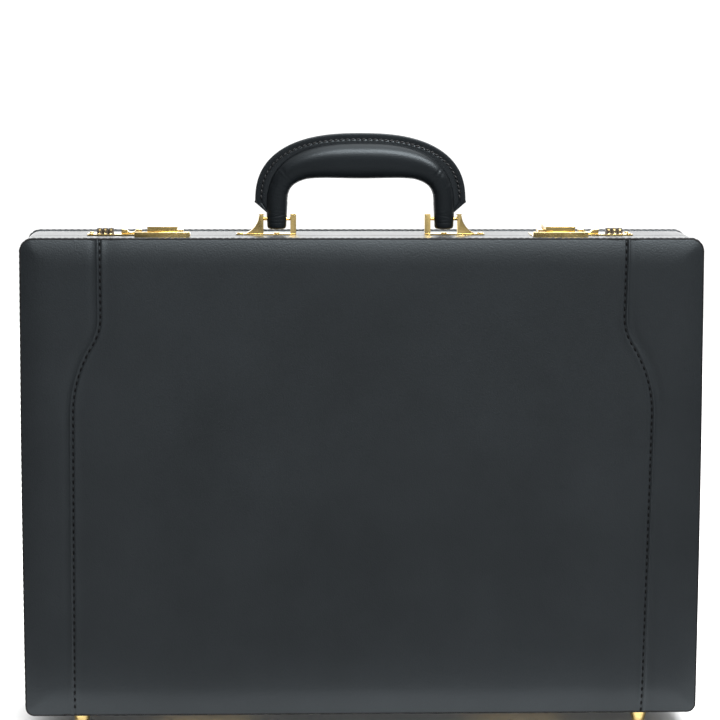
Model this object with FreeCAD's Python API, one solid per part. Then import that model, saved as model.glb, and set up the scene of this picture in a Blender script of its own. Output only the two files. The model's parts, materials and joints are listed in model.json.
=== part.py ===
import FreeCAD, Part
import math
import os

# Leather attache case, standing on the four feet of its hinge side.
# Frame: origin on the floor under the middle of the case, +X to the right,
# -Y towards the lid, +Z up. All sizes are in millimetres.

# ---- driving dimensions of the case ----
WIDTH = 450.0
BODY_HEIGHT = 318.0
DEPTH = 93.0
LID_SHARE = 37.5
FOOT_HEIGHT = 11.0
PARTING_GAP = 0.4

# ---- thickness of each layer ----
WELT_RISE = 1.1
WELT_WIDTH = 2.4
LEATHER = 1.4
BOARD = 4.0
PANEL_BOARD = 3.0
LINING = 1.0
PANEL_PAD = 3.5
PANEL_EDGE_ROUND = 3.0

# ---- outline corners ----
TOP_RADIUS = 8.0
BOTTOM_RADIUS = 5.0

# ---- decorative seams between centre and side panels ----
SEAM_RIM_X = {-1: 172.2, 1: 173.4}
SEAM_TOP_X = {-1: 172.0, 1: 172.2}
SEAM_MID_X = {-1: 190.3, 1: 191.2}
SEAM_LOW_X = {-1: 191.4, 1: 187.4}
SEAM_BEND_TOP = 51.0
SEAM_BEND_DROP = 64.0
SEAM_UPPER_RADIUS = 35.0

# ---- hinge ----
HINGE_DROP = 2.4
HINGE_BARREL = 2.2
HINGE_PIN = 1.2
RUNNING = 0.05
LEAF = 1.2
LEAF_WIDTH = 12.0
KNUCKLES = 5
KNUCKLE_LENGTH = 12.0
KNUCKLE_GAP = 0.3
HINGE_X = 105.0
RIVET_RADIUS = 2.0
RIVET_RISE = 0.7

# ---- feet ----
FOOT_X = 186.5
FOOT_INSET = 13.0
FOOT_TOP_RADIUS = 6.5
FOOT_TIP_RADIUS = 3.6
FOOT_TIP_ROUND = 0.8

# ---- handle, measured from its pivot pins ----
HANDLE_Y = 3.0
PIN_RISE = 10.8
HANDLE_PIN = 1.2
LEG_X = 56.0
LEG_HALF = 6.4
LEG_DROP = 6.9
LEG_HALF_THICK = 5.6
GRIP_HALF_THICK = 9.5
ARCH_HALF = 56.7
ARCH_FOOT = 6.0
ARCH_SHARPNESS = 3.0
ARCH_STATIONS = 14
ARCH_SIDE_IN = 0.85
ARCH_SIDE_UP = 0.62
FLANGE_THICK = 2.1
FLANGE_HALF = 70.7
FLANGE_FOOT_Z = 10.9
FLANGE_SHOULDER_X = 35.8
FLANGE_SHOULDER_DROP = 2.5
HIDDEN_SHOULDER_X = 30.8
HIDDEN_SHOULDER_DROP = 8.3
CORE_INSET = 3.0
BELLY = 26.6
GRIP_TOP = 51.6
HANDLE_TOP = 57.4

# ---- handle brackets ----
STRIP = 0.9
STRIP_HALF_Y = 4.5
POST_RISE = 2.8
INNER_POST_X = 45.0
INNER_POST_HALF = 1.9
OUTER_POST_X = 66.2
OUTER_POST_HALF = 1.3
FIN_TOE_X = 78.0
FIN_HALF_Y = 2.6
TOE_RIVET_X = 80.5
STRIP_END_X = 83.1
FIN_SWEEP_OUT = 0.3
FIN_SWEEP_UP = 0.4

# ---- locks ----
PLATE = 1.0
LOCK_Y = 1.0
LOCK_OUTER_X = 182.0
LOCK_INNER_X = 113.7
LOCK_HALF_Y = 9.0
CASE_OUTER_X = 179.0
CASE_INNER_X = 144.8
CASE_HALF_Y = 7.4
CASE_DEPTH = 8.6
CASE_WALL = 1.0
DIAL_RADIUS = 6.0
DIAL_RISE = 3.6
DIAL_WIDTH = 3.5
DIAL_PITCH = 3.75
DIAL_MID_X = 170.2
DIALS = 3
DIAL_GROOVES = 10
GROOVE_RADIUS = 0.45
DIAL_AXLE = 1.0
BUTTON_OUTER_X = 159.6
BUTTON_INNER_X = 146.0
BUTTON_HALF_Y = 3.6
BUTTON_RISE = 3.0
BUTTON_SADDLE = 2.1
BUTTON_STEM_HALF = 2.0
BUTTON_TRAVEL = 3.5
LOCK_RIVET = 1.4
LOCK_RIVET_X = 179.6
LOCK_RIVET_Y = 6.4
CLEARANCE = 0.3

# ---- hasps and strikes ----
HASP_X = 132.0
HASP_HALF = 9.8
HASP_BLOCK_INNER = 13.7
HASP_BLOCK_OUTER = 10.3
HASP_TOP = 7.0
HASP_THICK = 2.3
HASP_PIVOT_Y = 7.0
HASP_PIVOT = 1.0
HASP_BARREL = 2.0
HASP_NOSE_Y = -21.5
HASP_NOSE = 2.0
HASP_NECK_HALF = 7.4
STRIKE_HALF = 18.3
STRIKE_FRONT_Y = -25.0
STRIKE_CATCH_Y = -17.0
STRIKE_CATCH = 3.0
STRIKE_RAIL = 2.8
STRIKE_RAIL_RISE = 3.6
STRIKE_RIVET = 1.8
STRIKE_RIVET_X = 15.0

# ---- folding lid stays ----
STAY_A_Y = 12.0
STAY_B_Y = -26.0
STAY_PIVOT_Z = 98.0
STAY_ARM = 1.5
STAY_HALF = 4.0
STAY_PIN = 2.0
STAY_HEAD = 3.2
STAY_PLATE = 1.2
STAY_PLATE_HALF_Y = 6.8
STAY_PLATE_HALF_Z = 10.0

# ---- closing lip, pockets ----
LIP = 1.0
LIP_REACH = 4.0
LIP_LOW_Z = 120.0
POCKET_LEATHER = 1.5
POCKET_HALF = 190.0
POCKET_TOP = 215.0
POCKET_DEPTH = 7.0
CARD_HALF = 55.0
CARD_HEIGHT = 70.0
CARD_X = -105.0

# ---- places worked out from the driving dimensions ----
PANEL_Y = DEPTH / 2
WALL_Y = PANEL_Y - PANEL_PAD
PART_Y = -PANEL_Y + LID_SHARE
LID_EDGE = PART_Y - PARTING_GAP / 2
BASE_EDGE = PART_Y + PARTING_GAP / 2
HALF_W = WIDTH / 2 - WELT_RISE
Z_LOW = FOOT_HEIGHT
Z_HIGH = FOOT_HEIGHT + BODY_HEIGHT - 2 * WELT_RISE
HINGE_Z = Z_LOW - HINGE_DROP
PIN_Z = Z_HIGH + PIN_RISE
WALL = LEATHER + BOARD + LINING
INSIDE_X = HALF_W - WALL
INSIDE_LOW = Z_LOW + WALL
BACK_Y = WALL_Y - PANEL_BOARD - LINING
PLATE_Z = Z_HIGH + PLATE
DIAL_Z = PLATE_Z + DIAL_RISE - DIAL_RADIUS

X_AXIS = FreeCAD.Vector(1, 0, 0)
Y_AXIS = FreeCAD.Vector(0, 1, 0)
Z_AXIS = FreeCAD.Vector(0, 0, 1)
SIDES = {"left": -1, "right": 1}


# ---- small helpers ----
def point(x, y, z):
    return FreeCAD.Vector(x, y, z)


def block(xs, ys, zs):
    """A box between two x, two y and two z values, in any order."""
    low = point(min(xs), min(ys), min(zs))
    size = point(max(xs), max(ys), max(zs)) - low
    return Part.makeBox(size.x, size.y, size.z, low)


def rod_x(xs, y, z, radius):
    """A cylinder along X."""
    return Part.makeCylinder(radius, max(xs) - min(xs), point(min(xs), y, z), X_AXIS)


def rod_z(x, y, zs, radius):
    """A cylinder along Z."""
    return Part.makeCylinder(radius, max(zs) - min(zs), point(x, y, min(zs)), Z_AXIS)


def arc(a, b, c):
    """A circular edge through three points of the XZ plane."""
    return Part.Arc(point(a[0], 0, a[1]), point(b[0], 0, b[1]), point(c[0], 0, c[1])).toShape()


def line(a, b):
    """A straight edge between two points of the XZ plane."""
    return Part.LineSegment(point(a[0], 0, a[1]), point(b[0], 0, b[1])).toShape()


def extrude_y(edges, ys):
    """A closed outline in the XZ plane, extruded between two y values."""
    face = Part.Face(Part.Wire(Part.__sortEdges__(edges)))
    face.translate(point(0, min(ys), 0))
    return face.extrude(point(0, max(ys) - min(ys), 0))


def fuse(shapes):
    """One clean solid from shapes that share faces or overlap."""
    return shapes[0].multiFuse(shapes[1:]).removeSplitter()


def mirrored(shape):
    """The same piece on the other side of the case."""
    return shape.mirror(point(0, 0, 0), X_AXIS)


def on_side(shape, side):
    """A piece drawn on the right, put on the left or the right."""
    return shape if side > 0 else mirrored(shape)


def pair(shape):
    """A piece and its mirror image."""
    return [mirrored(shape), shape]


def save(name, solids):
    """Write one node."""
    shape = solids[0] if len(solids) == 1 else Part.makeCompound(solids)
    shape.exportStep("parts/" + name + ".step")


# ---- case outlines ----
def outline(inset):
    """Edges of the case outline in the XZ plane, moved inwards by inset."""
    half = HALF_W - inset
    low = Z_LOW + inset
    high = Z_HIGH - inset
    top = max(TOP_RADIUS - inset, LINING)
    bottom = max(BOTTOM_RADIUS - inset, LINING)
    edges = [line((-half + bottom, low), (half - bottom, low)),
             line((half, low + bottom), (half, high - top)),
             line((half - top, high), (-half + top, high)),
             line((-half, high - top), (-half, low + bottom))]
    diagonal = 1 - math.sqrt(0.5)
    for sign in (-1, 1):
        edges.append(arc((sign * (half - bottom), low),
                         (sign * (half - bottom * diagonal), low + bottom * diagonal),
                         (sign * half, low + bottom)))
        edges.append(arc((sign * (half - top), high),
                         (sign * (half - top * diagonal), high - top * diagonal),
                         (sign * half, high - top)))
    return edges


def slab(inset, ys):
    """A full plate of the case outline."""
    return extrude_y(outline(inset), ys)


def ring(outer, inner, ys):
    """The wall between two insets of the case outline."""
    return slab(outer, ys).cut(slab(inner, ys))


def lock_openings(clear):
    """Cutters for the two lock cases in the top wall."""
    half = CASE_HALF_Y + clear
    cutter = block((CASE_INNER_X - clear, CASE_OUTER_X + clear),
                   (LOCK_Y - half, LOCK_Y + half), (Z_HIGH - CASE_DEPTH - LINING, Z_HIGH + LINING))
    return pair(cutter)


# ---- shells: lid and base are built the same way, facing opposite ways ----
def shell_frame(edge, face_y):
    """Wooden ring that forms the walls."""
    return ring(LEATHER, LEATHER + BOARD, (edge, face_y))


def shell_board(face_y, wall_y):
    """Stiff board across the face."""
    return slab(LEATHER, (face_y, wall_y))


def wall_leather(edge, wall_y):
    """Leather round the walls."""
    return ring(0, LEATHER, (edge, wall_y))


def edge_welt(wall_y, inner_y):
    """Raised sewn welt where wall and face leather meet."""
    return ring(-WELT_RISE, 0, (wall_y, inner_y))


def lining(edge, face_y, side):
    """Lining of walls and board, as one thin tray."""
    walls = ring(LEATHER + BOARD, WALL, (edge, face_y))
    floor = slab(WALL, (face_y, face_y - side * LINING))
    return fuse([walls, floor])


def face_leather(wall_y, panel_y):
    """Padded face leather with a rounded outer edge, before it is divided."""
    plate = slab(0, (wall_y, panel_y))
    rim = [edge for edge in plate.Edges if abs(edge.BoundBox.YMin - panel_y) < RUNNING
           and abs(edge.BoundBox.YMax - panel_y) < RUNNING]
    return plate.makeFillet(PANEL_EDGE_ROUND, rim)


def seam_cutter(sign):
    """Everything outside one decorative seam, as seen from the face."""
    reach = PANEL_Y * 2
    start = Z_HIGH - SEAM_BEND_TOP
    end = start - SEAM_BEND_DROP
    top_x = SEAM_TOP_X[sign]
    mid_x = SEAM_MID_X[sign]
    turn = 2 * math.atan((mid_x - top_x) / SEAM_BEND_DROP)
    upper = SEAM_UPPER_RADIUS
    lower = SEAM_BEND_DROP / math.sin(turn) - upper
    join = (top_x + upper * (1 - math.cos(turn)), start - upper * math.sin(turn))
    upper_mid = (top_x + upper * (1 - math.cos(turn / 2)), start - upper * math.sin(turn / 2))
    lower_mid = (mid_x - lower * (1 - math.cos(turn / 2)), end + lower * math.sin(turn / 2))
    far = WIDTH
    points = [(SEAM_RIM_X[sign], Z_HIGH), (SEAM_RIM_X[sign], Z_HIGH + reach), (top_x, start),
              upper_mid, join, lower_mid, (mid_x, end), (SEAM_LOW_X[sign], Z_LOW),
              (SEAM_LOW_X[sign], Z_LOW - reach), (far, Z_LOW - reach), (far, Z_HIGH + reach)]
    rim, above, bend, mid_a, bend_join, mid_b, end_bend, low, under, under_far, over_far = [
        (sign * x, z) for x, z in points]
    edges = [line(above, rim), line(rim, bend), arc(bend, mid_a, bend_join),
             arc(bend_join, mid_b, end_bend), line(end_bend, low), line(low, under),
             line(under, under_far), line(under_far, over_far), line(over_far, above)]
    return extrude_y(edges, (-reach, reach))


def face_panels(wall_y, panel_y):
    """The face leather divided into left, centre and right panels."""
    whole = face_leather(wall_y, panel_y)
    left = seam_cutter(-1)
    right = seam_cutter(1)
    return whole.common(left), whole.cut(left).cut(right), whole.common(right)


def build_shell(name, edge, side):
    """All the layers of the lid (side -1) or the base (side 1)."""
    wall_y = side * WALL_Y
    face_y = side * (WALL_Y - PANEL_BOARD)
    frame = shell_frame(edge, face_y)
    leather = wall_leather(edge, wall_y)
    inner = lining(edge, face_y, side)
    if side > 0:
        for cutter in lock_openings(0):
            frame = frame.cut(cutter)
            leather = leather.cut(cutter)
            inner = inner.cut(cutter)
    save(name + "_frame", [frame])
    save(name + "_board", [shell_board(face_y, wall_y)])
    save(name + "_wall_leather", [leather])
    save(name + "_edge_welt", [edge_welt(wall_y, wall_y - side * WELT_WIDTH)])
    save(name + "_lining", [inner])
    for label, panel in zip(("left", "centre", "right"), face_panels(wall_y, side * PANEL_Y)):
        save(name + "_" + label + "_panel", [panel])


def closing_lip():
    """Three-sided lip inside the base that steps into the lid."""
    ys = (BASE_EDGE + 2 * LIP_REACH, LID_EDGE - LIP_REACH)
    outer = WALL + CLEARANCE
    lip = ring(outer, outer + LIP, ys)
    tail = ring(WALL, outer, (BASE_EDGE, BASE_EDGE + 2 * LIP_REACH))
    below = block((-WIDTH, WIDTH), (-DEPTH, DEPTH), (0, LIP_LOW_Z))
    lip = fuse([lip, tail]).cut(below)
    for cutter in lock_openings(CLEARANCE):
        lip = lip.cut(cutter)
    return lip


# ---- hinges ----
def knuckle_spans(own):
    """X spans of every knuckle that belongs to one leaf of a hinge centred on x = 0."""
    step = KNUCKLE_LENGTH + KNUCKLE_GAP
    first = -(KNUCKLES - 1) / 2 * step
    centres = [first + step * index for index in range(KNUCKLES) if index % 2 == own]
    return [(x - KNUCKLE_LENGTH / 2, x + KNUCKLE_LENGTH / 2) for x in centres]


def hinge_leaf(side, own):
    """One leaf under the wall with its knuckles round the pin."""
    half = KNUCKLES * (KNUCKLE_LENGTH + KNUCKLE_GAP) / 2
    top = Z_LOW
    edge = PART_Y + side * (HINGE_BARREL + CLEARANCE)
    leaf = block((-half, half), (edge, PART_Y + side * LEAF_WIDTH), (top - LEAF, top))
    pieces = [leaf]
    for span in knuckle_spans(own):
        barrel = rod_x(span, PART_Y, HINGE_Z, HINGE_BARREL)
        web = block(span, (PART_Y + side * HINGE_PIN, edge), (top - LEAF, HINGE_Z + HINGE_BARREL))
        pieces += [barrel, web]
    bore = rod_x((-half, half), PART_Y, HINGE_Z, HINGE_PIN + RUNNING)
    return fuse(pieces).cut(bore)


def rivet_under(x, y):
    """A low dome rivet head under the wall."""
    head = rod_z(x, y, (Z_LOW - LEAF - RIVET_RISE, Z_LOW - LEAF), RIVET_RADIUS)
    lower = [edge for edge in head.Edges if edge.BoundBox.ZMax < Z_LOW - LEAF - RIVET_RISE / 2]
    return head.makeFillet(RIVET_RISE / 2, lower)


def build_hinges():
    """Two knuckle hinges under the case and their pins and rivets."""
    half = KNUCKLES * (KNUCKLE_LENGTH + KNUCKLE_GAP) / 2
    step = half * 2 / 3
    for name, side, own in (("base", 1, 0), ("lid", -1, 1)):
        leaves = []
        rivets = []
        y = PART_Y + side * (LEAF_WIDTH + HINGE_BARREL) / 2
        for centre in (-HINGE_X, HINGE_X):
            leaf = hinge_leaf(side, own)
            leaf.translate(point(centre, 0, 0))
            leaves.append(leaf)
            rivets += [rivet_under(centre + step * index, y) for index in (-1, 0, 1)]
        save(name + "_hinge_leaves", leaves)
        save(name + "_hinge_rivets", rivets)
    pins = [rod_x((centre - half, centre + half), PART_Y, HINGE_Z, HINGE_PIN)
            for centre in (-HINGE_X, HINGE_X)]
    save("hinge_pins", pins)


# ---- feet ----
def foot(x, y):
    """A turned conical foot."""
    cone = Part.makeCone(FOOT_TIP_RADIUS, FOOT_TOP_RADIUS, FOOT_HEIGHT, point(x, y, 0), Z_AXIS)
    tip = [edge for edge in cone.Edges if edge.BoundBox.ZMax < RUNNING]
    return cone.makeFillet(FOOT_TIP_ROUND, tip)


def build_feet():
    """Two feet under the lid and two under the base."""
    y = WALL_Y - FOOT_INSET
    save("lid_feet", [foot(-FOOT_X, -y), foot(FOOT_X, -y)])
    save("base_feet", [foot(-FOOT_X, y), foot(FOOT_X, y)])


# ---- handle ----
def arch(height, shoulder, half, foot_z):
    """Edges of an arch from the right foot to the left one, as three arcs."""
    side_low = (half, foot_z)
    side_mid = (half * ARCH_SIDE_IN, foot_z + (shoulder[1] - foot_z) * ARCH_SIDE_UP)
    left_low, left_mid, left_top = [(-x, z) for x, z in (side_low, side_mid, shoulder)]
    return [arc(side_low, side_mid, shoulder), arc(shoulder, (0, height), left_top),
            arc(left_top, left_mid, left_low)]


def arch_section(turn, shrink):
    """One oval section square to the handle's middle line; turn runs from 0 to pi."""
    power = 2 / ARCH_SHARPNESS
    sweep_x = math.copysign(abs(math.cos(turn)) ** power, math.cos(turn))
    sweep_z = abs(math.sin(turn)) ** power
    rise = (BELLY + GRIP_TOP) / 2 - ARCH_FOOT
    centre = point(ARCH_HALF * sweep_x, HANDLE_Y, ARCH_FOOT + rise * sweep_z)
    slope_x = sweep_x ** (ARCH_SHARPNESS - 1) if sweep_x > 0 else -abs(sweep_x) ** (ARCH_SHARPNESS - 1)
    slope_z = sweep_z ** (ARCH_SHARPNESS - 1)
    across = point(slope_x / ARCH_HALF, 0, slope_z / rise).normalize()
    full = math.sin(turn) ** 2
    half = LEG_HALF + ((GRIP_TOP - BELLY) / 2 - LEG_HALF) * full
    thick = LEG_HALF_THICK + (GRIP_HALF_THICK - LEG_HALF_THICK) * full
    return oval(centre, across * (half - shrink), thick - shrink)


def oval(centre, across, thick):
    """A closed oval with one half-axis given and the other along Y."""
    curve = Part.Ellipse(centre + across, centre + Y_AXIS * thick, centre)
    return Part.Wire(curve.toShape())


def arch_loft(shrink):
    """The arched grip with its two legs, made smaller all round by shrink."""
    foot = -LEG_DROP + shrink
    ends = [oval(point(sign * LEG_X, HANDLE_Y, z), point(sign * (LEG_HALF - shrink), 0, 0),
                 LEG_HALF_THICK - shrink)
            for sign, z in ((1, foot), (1, foot / 2 + ARCH_FOOT / 2))]
    far = [oval(point(-LEG_X, HANDLE_Y, z), point(-LEG_HALF + shrink, 0, 0),
                LEG_HALF_THICK - shrink) for z in (foot / 2 + ARCH_FOOT / 2, foot)]
    turns = [math.pi * (index + 0.5) / ARCH_STATIONS for index in range(ARCH_STATIONS)]
    middle = [arch_section(turn, shrink) for turn in turns]
    return Part.makeLoft(ends + middle + far, True, False)


def flange_blank():
    """The sewn edge that runs round the outside of the grip."""
    edges = arch(HANDLE_TOP, (FLANGE_SHOULDER_X, HANDLE_TOP - FLANGE_SHOULDER_DROP), FLANGE_HALF,
                 FLANGE_FOOT_Z)
    inner_x = LEG_X + LEG_HALF / 2
    inner_z = FLANGE_FOOT_Z + LEG_HALF / 2
    edges.append(line((FLANGE_HALF, FLANGE_FOOT_Z), (inner_x, inner_z)))
    edges.append(line((-FLANGE_HALF, FLANGE_FOOT_Z), (-inner_x, inner_z)))
    edges += arch(GRIP_TOP - LEG_HALF, (HIDDEN_SHOULDER_X, GRIP_TOP - HIDDEN_SHOULDER_DROP),
                  inner_x, inner_z)
    return extrude_y(edges, (HANDLE_Y - FLANGE_THICK, HANDLE_Y + FLANGE_THICK))


def build_handle():
    """Core, leather grip and the two layers of its sewn flange."""
    lift = point(0, 0, PIN_Z)
    bores = rod_x((-WIDTH / 2, WIDTH / 2), HANDLE_Y, 0, HANDLE_PIN + RUNNING)
    core = arch_loft(CORE_INSET)
    grip = arch_loft(0)
    flange = flange_blank().cut(grip)
    grip = grip.cut(core).cut(bores)
    core = core.cut(bores)
    front = block((-WIDTH, WIDTH), (HANDLE_Y, -DEPTH), (-DEPTH, DEPTH))
    layers = {"handle_core": core, "handle_grip": grip,
              "handle_flange_front": flange.common(front), "handle_flange_back": flange.cut(front)}
    for name, shape in layers.items():
        shape.translate(lift)
        save(name, shape.Solids)


def bracket():
    """The right-hand handle bracket: strip, straight inner post and swept outer fin."""
    top = PIN_Z + POST_RISE
    ys = (HANDLE_Y - FIN_HALF_Y, HANDLE_Y + FIN_HALF_Y)
    strip = block((INNER_POST_X - INNER_POST_HALF, STRIP_END_X),
                  (HANDLE_Y - STRIP_HALF_Y, HANDLE_Y + STRIP_HALF_Y), (Z_HIGH, Z_HIGH + STRIP))
    inner = block((INNER_POST_X - INNER_POST_HALF, INNER_POST_X + INNER_POST_HALF), ys,
                  (Z_HIGH, top))
    low = Z_HIGH + STRIP / 2
    fin_in = OUTER_POST_X - OUTER_POST_HALF
    fin_out = OUTER_POST_X + OUTER_POST_HALF
    sweep = arc((fin_out, top), (fin_out + (FIN_TOE_X - fin_out) * FIN_SWEEP_OUT,
                                 low + (top - low) * FIN_SWEEP_UP), (FIN_TOE_X, low))
    fin = extrude_y([line((fin_in, low), (fin_in, top)), line((fin_in, top), (fin_out, top)),
                     sweep, line((FIN_TOE_X, low), (fin_in, low))], ys)
    bore = rod_x((INNER_POST_X - DEPTH / 2, FIN_TOE_X), HANDLE_Y, PIN_Z, HANDLE_PIN)
    return fuse([strip, inner, fin]).cut(bore)


def dome(x, y, z, radius):
    """A low dome rivet head on top of a plate."""
    head = rod_z(x, y, (z, z + RIVET_RISE), radius)
    upper = [edge for edge in head.Edges if edge.BoundBox.ZMin > z + RIVET_RISE / 2]
    return head.makeFillet(RIVET_RISE / 2, upper)


def build_brackets():
    """Both brackets, their pivot pins and rivets."""
    save("handle_brackets", pair(bracket()))
    span = (INNER_POST_X - INNER_POST_HALF, OUTER_POST_X + OUTER_POST_HALF)
    save("handle_pins", pair(rod_x(span, HANDLE_Y, PIN_Z, HANDLE_PIN)))
    strip_top = Z_HIGH + STRIP
    rivets = [dome(TOE_RIVET_X, HANDLE_Y, strip_top, RIVET_RADIUS),
              dome(LEG_X, HANDLE_Y, strip_top, RIVET_RADIUS)]
    save("handle_bracket_rivets", rivets + [mirrored(rivet) for rivet in rivets])


# ---- locks ----
def dial_x(index):
    """Distance of one dial from the middle of the case."""
    return DIAL_MID_X + (index - (DIALS - 1) / 2) * DIAL_PITCH


def lock_plate():
    """Top plate with a window for each dial, a button slot and the raised hasp block."""
    ys = (LOCK_Y - LOCK_HALF_Y, LOCK_Y + LOCK_HALF_Y)
    plate = block((LOCK_INNER_X, LOCK_OUTER_X), ys, (Z_HIGH, PLATE_Z))
    block_top = Z_HIGH + HASP_TOP - HASP_THICK - CLEARANCE * 2
    rise = block((HASP_X - HASP_BLOCK_INNER, HASP_X + HASP_BLOCK_OUTER),
                 (BASE_EDGE + CLEARANCE, HASP_PIVOT_Y - HASP_BARREL - CLEARANCE),
                 (Z_HIGH, block_top))
    plate = fuse([plate, rise])
    chord = math.sqrt(DIAL_RADIUS ** 2 - (Z_HIGH - DIAL_Z) ** 2) + CLEARANCE * 2
    for index in range(DIALS):
        x = dial_x(index)
        half = DIAL_WIDTH / 2 + CLEARANCE / 2
        plate = plate.cut(block((x - half, x + half), (LOCK_Y - chord, LOCK_Y + chord),
                                (Z_HIGH - PLATE, PLATE_Z + PLATE)))
    middle = (BUTTON_OUTER_X + BUTTON_INNER_X) / 2
    slot = block((middle - BUTTON_STEM_HALF - CLEARANCE,
                  middle + BUTTON_STEM_HALF + BUTTON_TRAVEL + CLEARANCE),
                 (LOCK_Y - BUTTON_STEM_HALF - CLEARANCE, LOCK_Y + BUTTON_STEM_HALF + CLEARANCE),
                 (Z_HIGH - PLATE, PLATE_Z + PLATE))
    return plate.cut(slot)


def hasp_ears():
    """The two ears behind the hasp that hold its pivot pin."""
    ears = []
    top = hasp_pivot_z() + HASP_BARREL
    for sign in (-1, 1):
        xs = sorted((HASP_X + sign * (HASP_NECK_HALF + CLEARANCE), HASP_X + sign * HASP_HALF))
        ears.append(block(xs, (HASP_PIVOT_Y - HASP_BARREL, HASP_PIVOT_Y + HASP_BARREL),
                          (Z_HIGH, top)))
    return ears


def hasp_pivot_z():
    """Height of the hasp's pivot."""
    return Z_HIGH + HASP_TOP - HASP_BARREL


def hasp():
    """Flat hasp on a narrower neck and barrel, with a nose that turns down over the strike."""
    top = Z_HIGH + HASP_TOP
    xs = (HASP_X - HASP_HALF, HASP_X + HASP_HALF)
    neck_xs = (HASP_X - HASP_NECK_HALF, HASP_X + HASP_NECK_HALF)
    shoulder = HASP_PIVOT_Y - HASP_BARREL * math.sqrt(2) - 2 * CLEARANCE
    barrel = rod_x(neck_xs, HASP_PIVOT_Y, hasp_pivot_z(), HASP_BARREL)
    neck = block(neck_xs, (shoulder, HASP_PIVOT_Y), (top - HASP_THICK, top))
    leaf = block(xs, (HASP_NOSE_Y, shoulder), (top - HASP_THICK, top))
    nose = block(xs, (HASP_NOSE_Y, HASP_NOSE_Y + HASP_NOSE),
                 (Z_HIGH + PLATE * 2 + CLEARANCE * 2, top))
    bore = rod_x(neck_xs, HASP_PIVOT_Y, hasp_pivot_z(), HASP_PIVOT + RUNNING)
    return fuse([leaf, neck, barrel, nose]).cut(bore)


def strike():
    """Plate on the lid with a raised front rail and the low catch behind the hasp nose."""
    xs = (HASP_X - STRIKE_HALF, HASP_X + STRIKE_HALF)
    plate = block(xs, (STRIKE_FRONT_Y, LID_EDGE - CLEARANCE), (Z_HIGH, PLATE_Z))
    catch = block((HASP_X - HASP_HALF, HASP_X + HASP_HALF),
                  (STRIKE_CATCH_Y, STRIKE_CATCH_Y + STRIKE_CATCH), (Z_HIGH, PLATE_Z + PLATE))
    rail = block(xs, (STRIKE_FRONT_Y, STRIKE_FRONT_Y + STRIKE_RAIL),
                 (Z_HIGH, Z_HIGH + STRIKE_RAIL_RISE))
    return fuse([plate, catch, rail])


def lock_case():
    """Open-topped box under the plate that holds the dials and the button stem."""
    xs = (CASE_INNER_X, CASE_OUTER_X)
    ys = (LOCK_Y - CASE_HALF_Y, LOCK_Y + CASE_HALF_Y)
    outer = block(xs, ys, (Z_HIGH - CASE_DEPTH, Z_HIGH))
    inner = block((xs[0] + CASE_WALL, xs[1] - CASE_WALL), (ys[0] + CASE_WALL, ys[1] - CASE_WALL),
                  (Z_HIGH - CASE_DEPTH + CASE_WALL, Z_HIGH))
    return outer.cut(inner)


def button():
    """Saddle-shaped thumb slide with its stem."""
    xs = (BUTTON_INNER_X, BUTTON_OUTER_X)
    ys = (LOCK_Y - BUTTON_HALF_Y, LOCK_Y + BUTTON_HALF_Y)
    low = PLATE_Z + RUNNING
    top = low + BUTTON_RISE
    middle = sum(xs) / 2
    body = block(xs, ys, (low, top))
    saddle_radius = (xs[1] - xs[0]) / 4
    dip = Part.makeCylinder(saddle_radius, DEPTH, point(middle, -DEPTH / 2, top + saddle_radius
                                                        - BUTTON_SADDLE), Y_AXIS)
    stem = block((middle - BUTTON_STEM_HALF, middle + BUTTON_STEM_HALF),
                 (LOCK_Y - BUTTON_STEM_HALF, LOCK_Y + BUTTON_STEM_HALF),
                 (Z_HIGH - CASE_DEPTH / 2, low))
    return fuse([body.cut(dip), stem])


def dial(index):
    """One number wheel with finger grooves between its ten faces."""
    x = dial_x(index)
    span = (x - DIAL_WIDTH / 2, x + DIAL_WIDTH / 2)
    wheel = rod_x(span, LOCK_Y, DIAL_Z, DIAL_RADIUS)
    for groove in range(DIAL_GROOVES):
        angle = 2 * math.pi * (groove + 0.5) / DIAL_GROOVES
        wheel = wheel.cut(rod_x(span, LOCK_Y + DIAL_RADIUS * math.sin(angle),
                                DIAL_Z + DIAL_RADIUS * math.cos(angle), GROOVE_RADIUS))
    return wheel.cut(rod_x(span, LOCK_Y, DIAL_Z, DIAL_AXLE + RUNNING))


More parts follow.
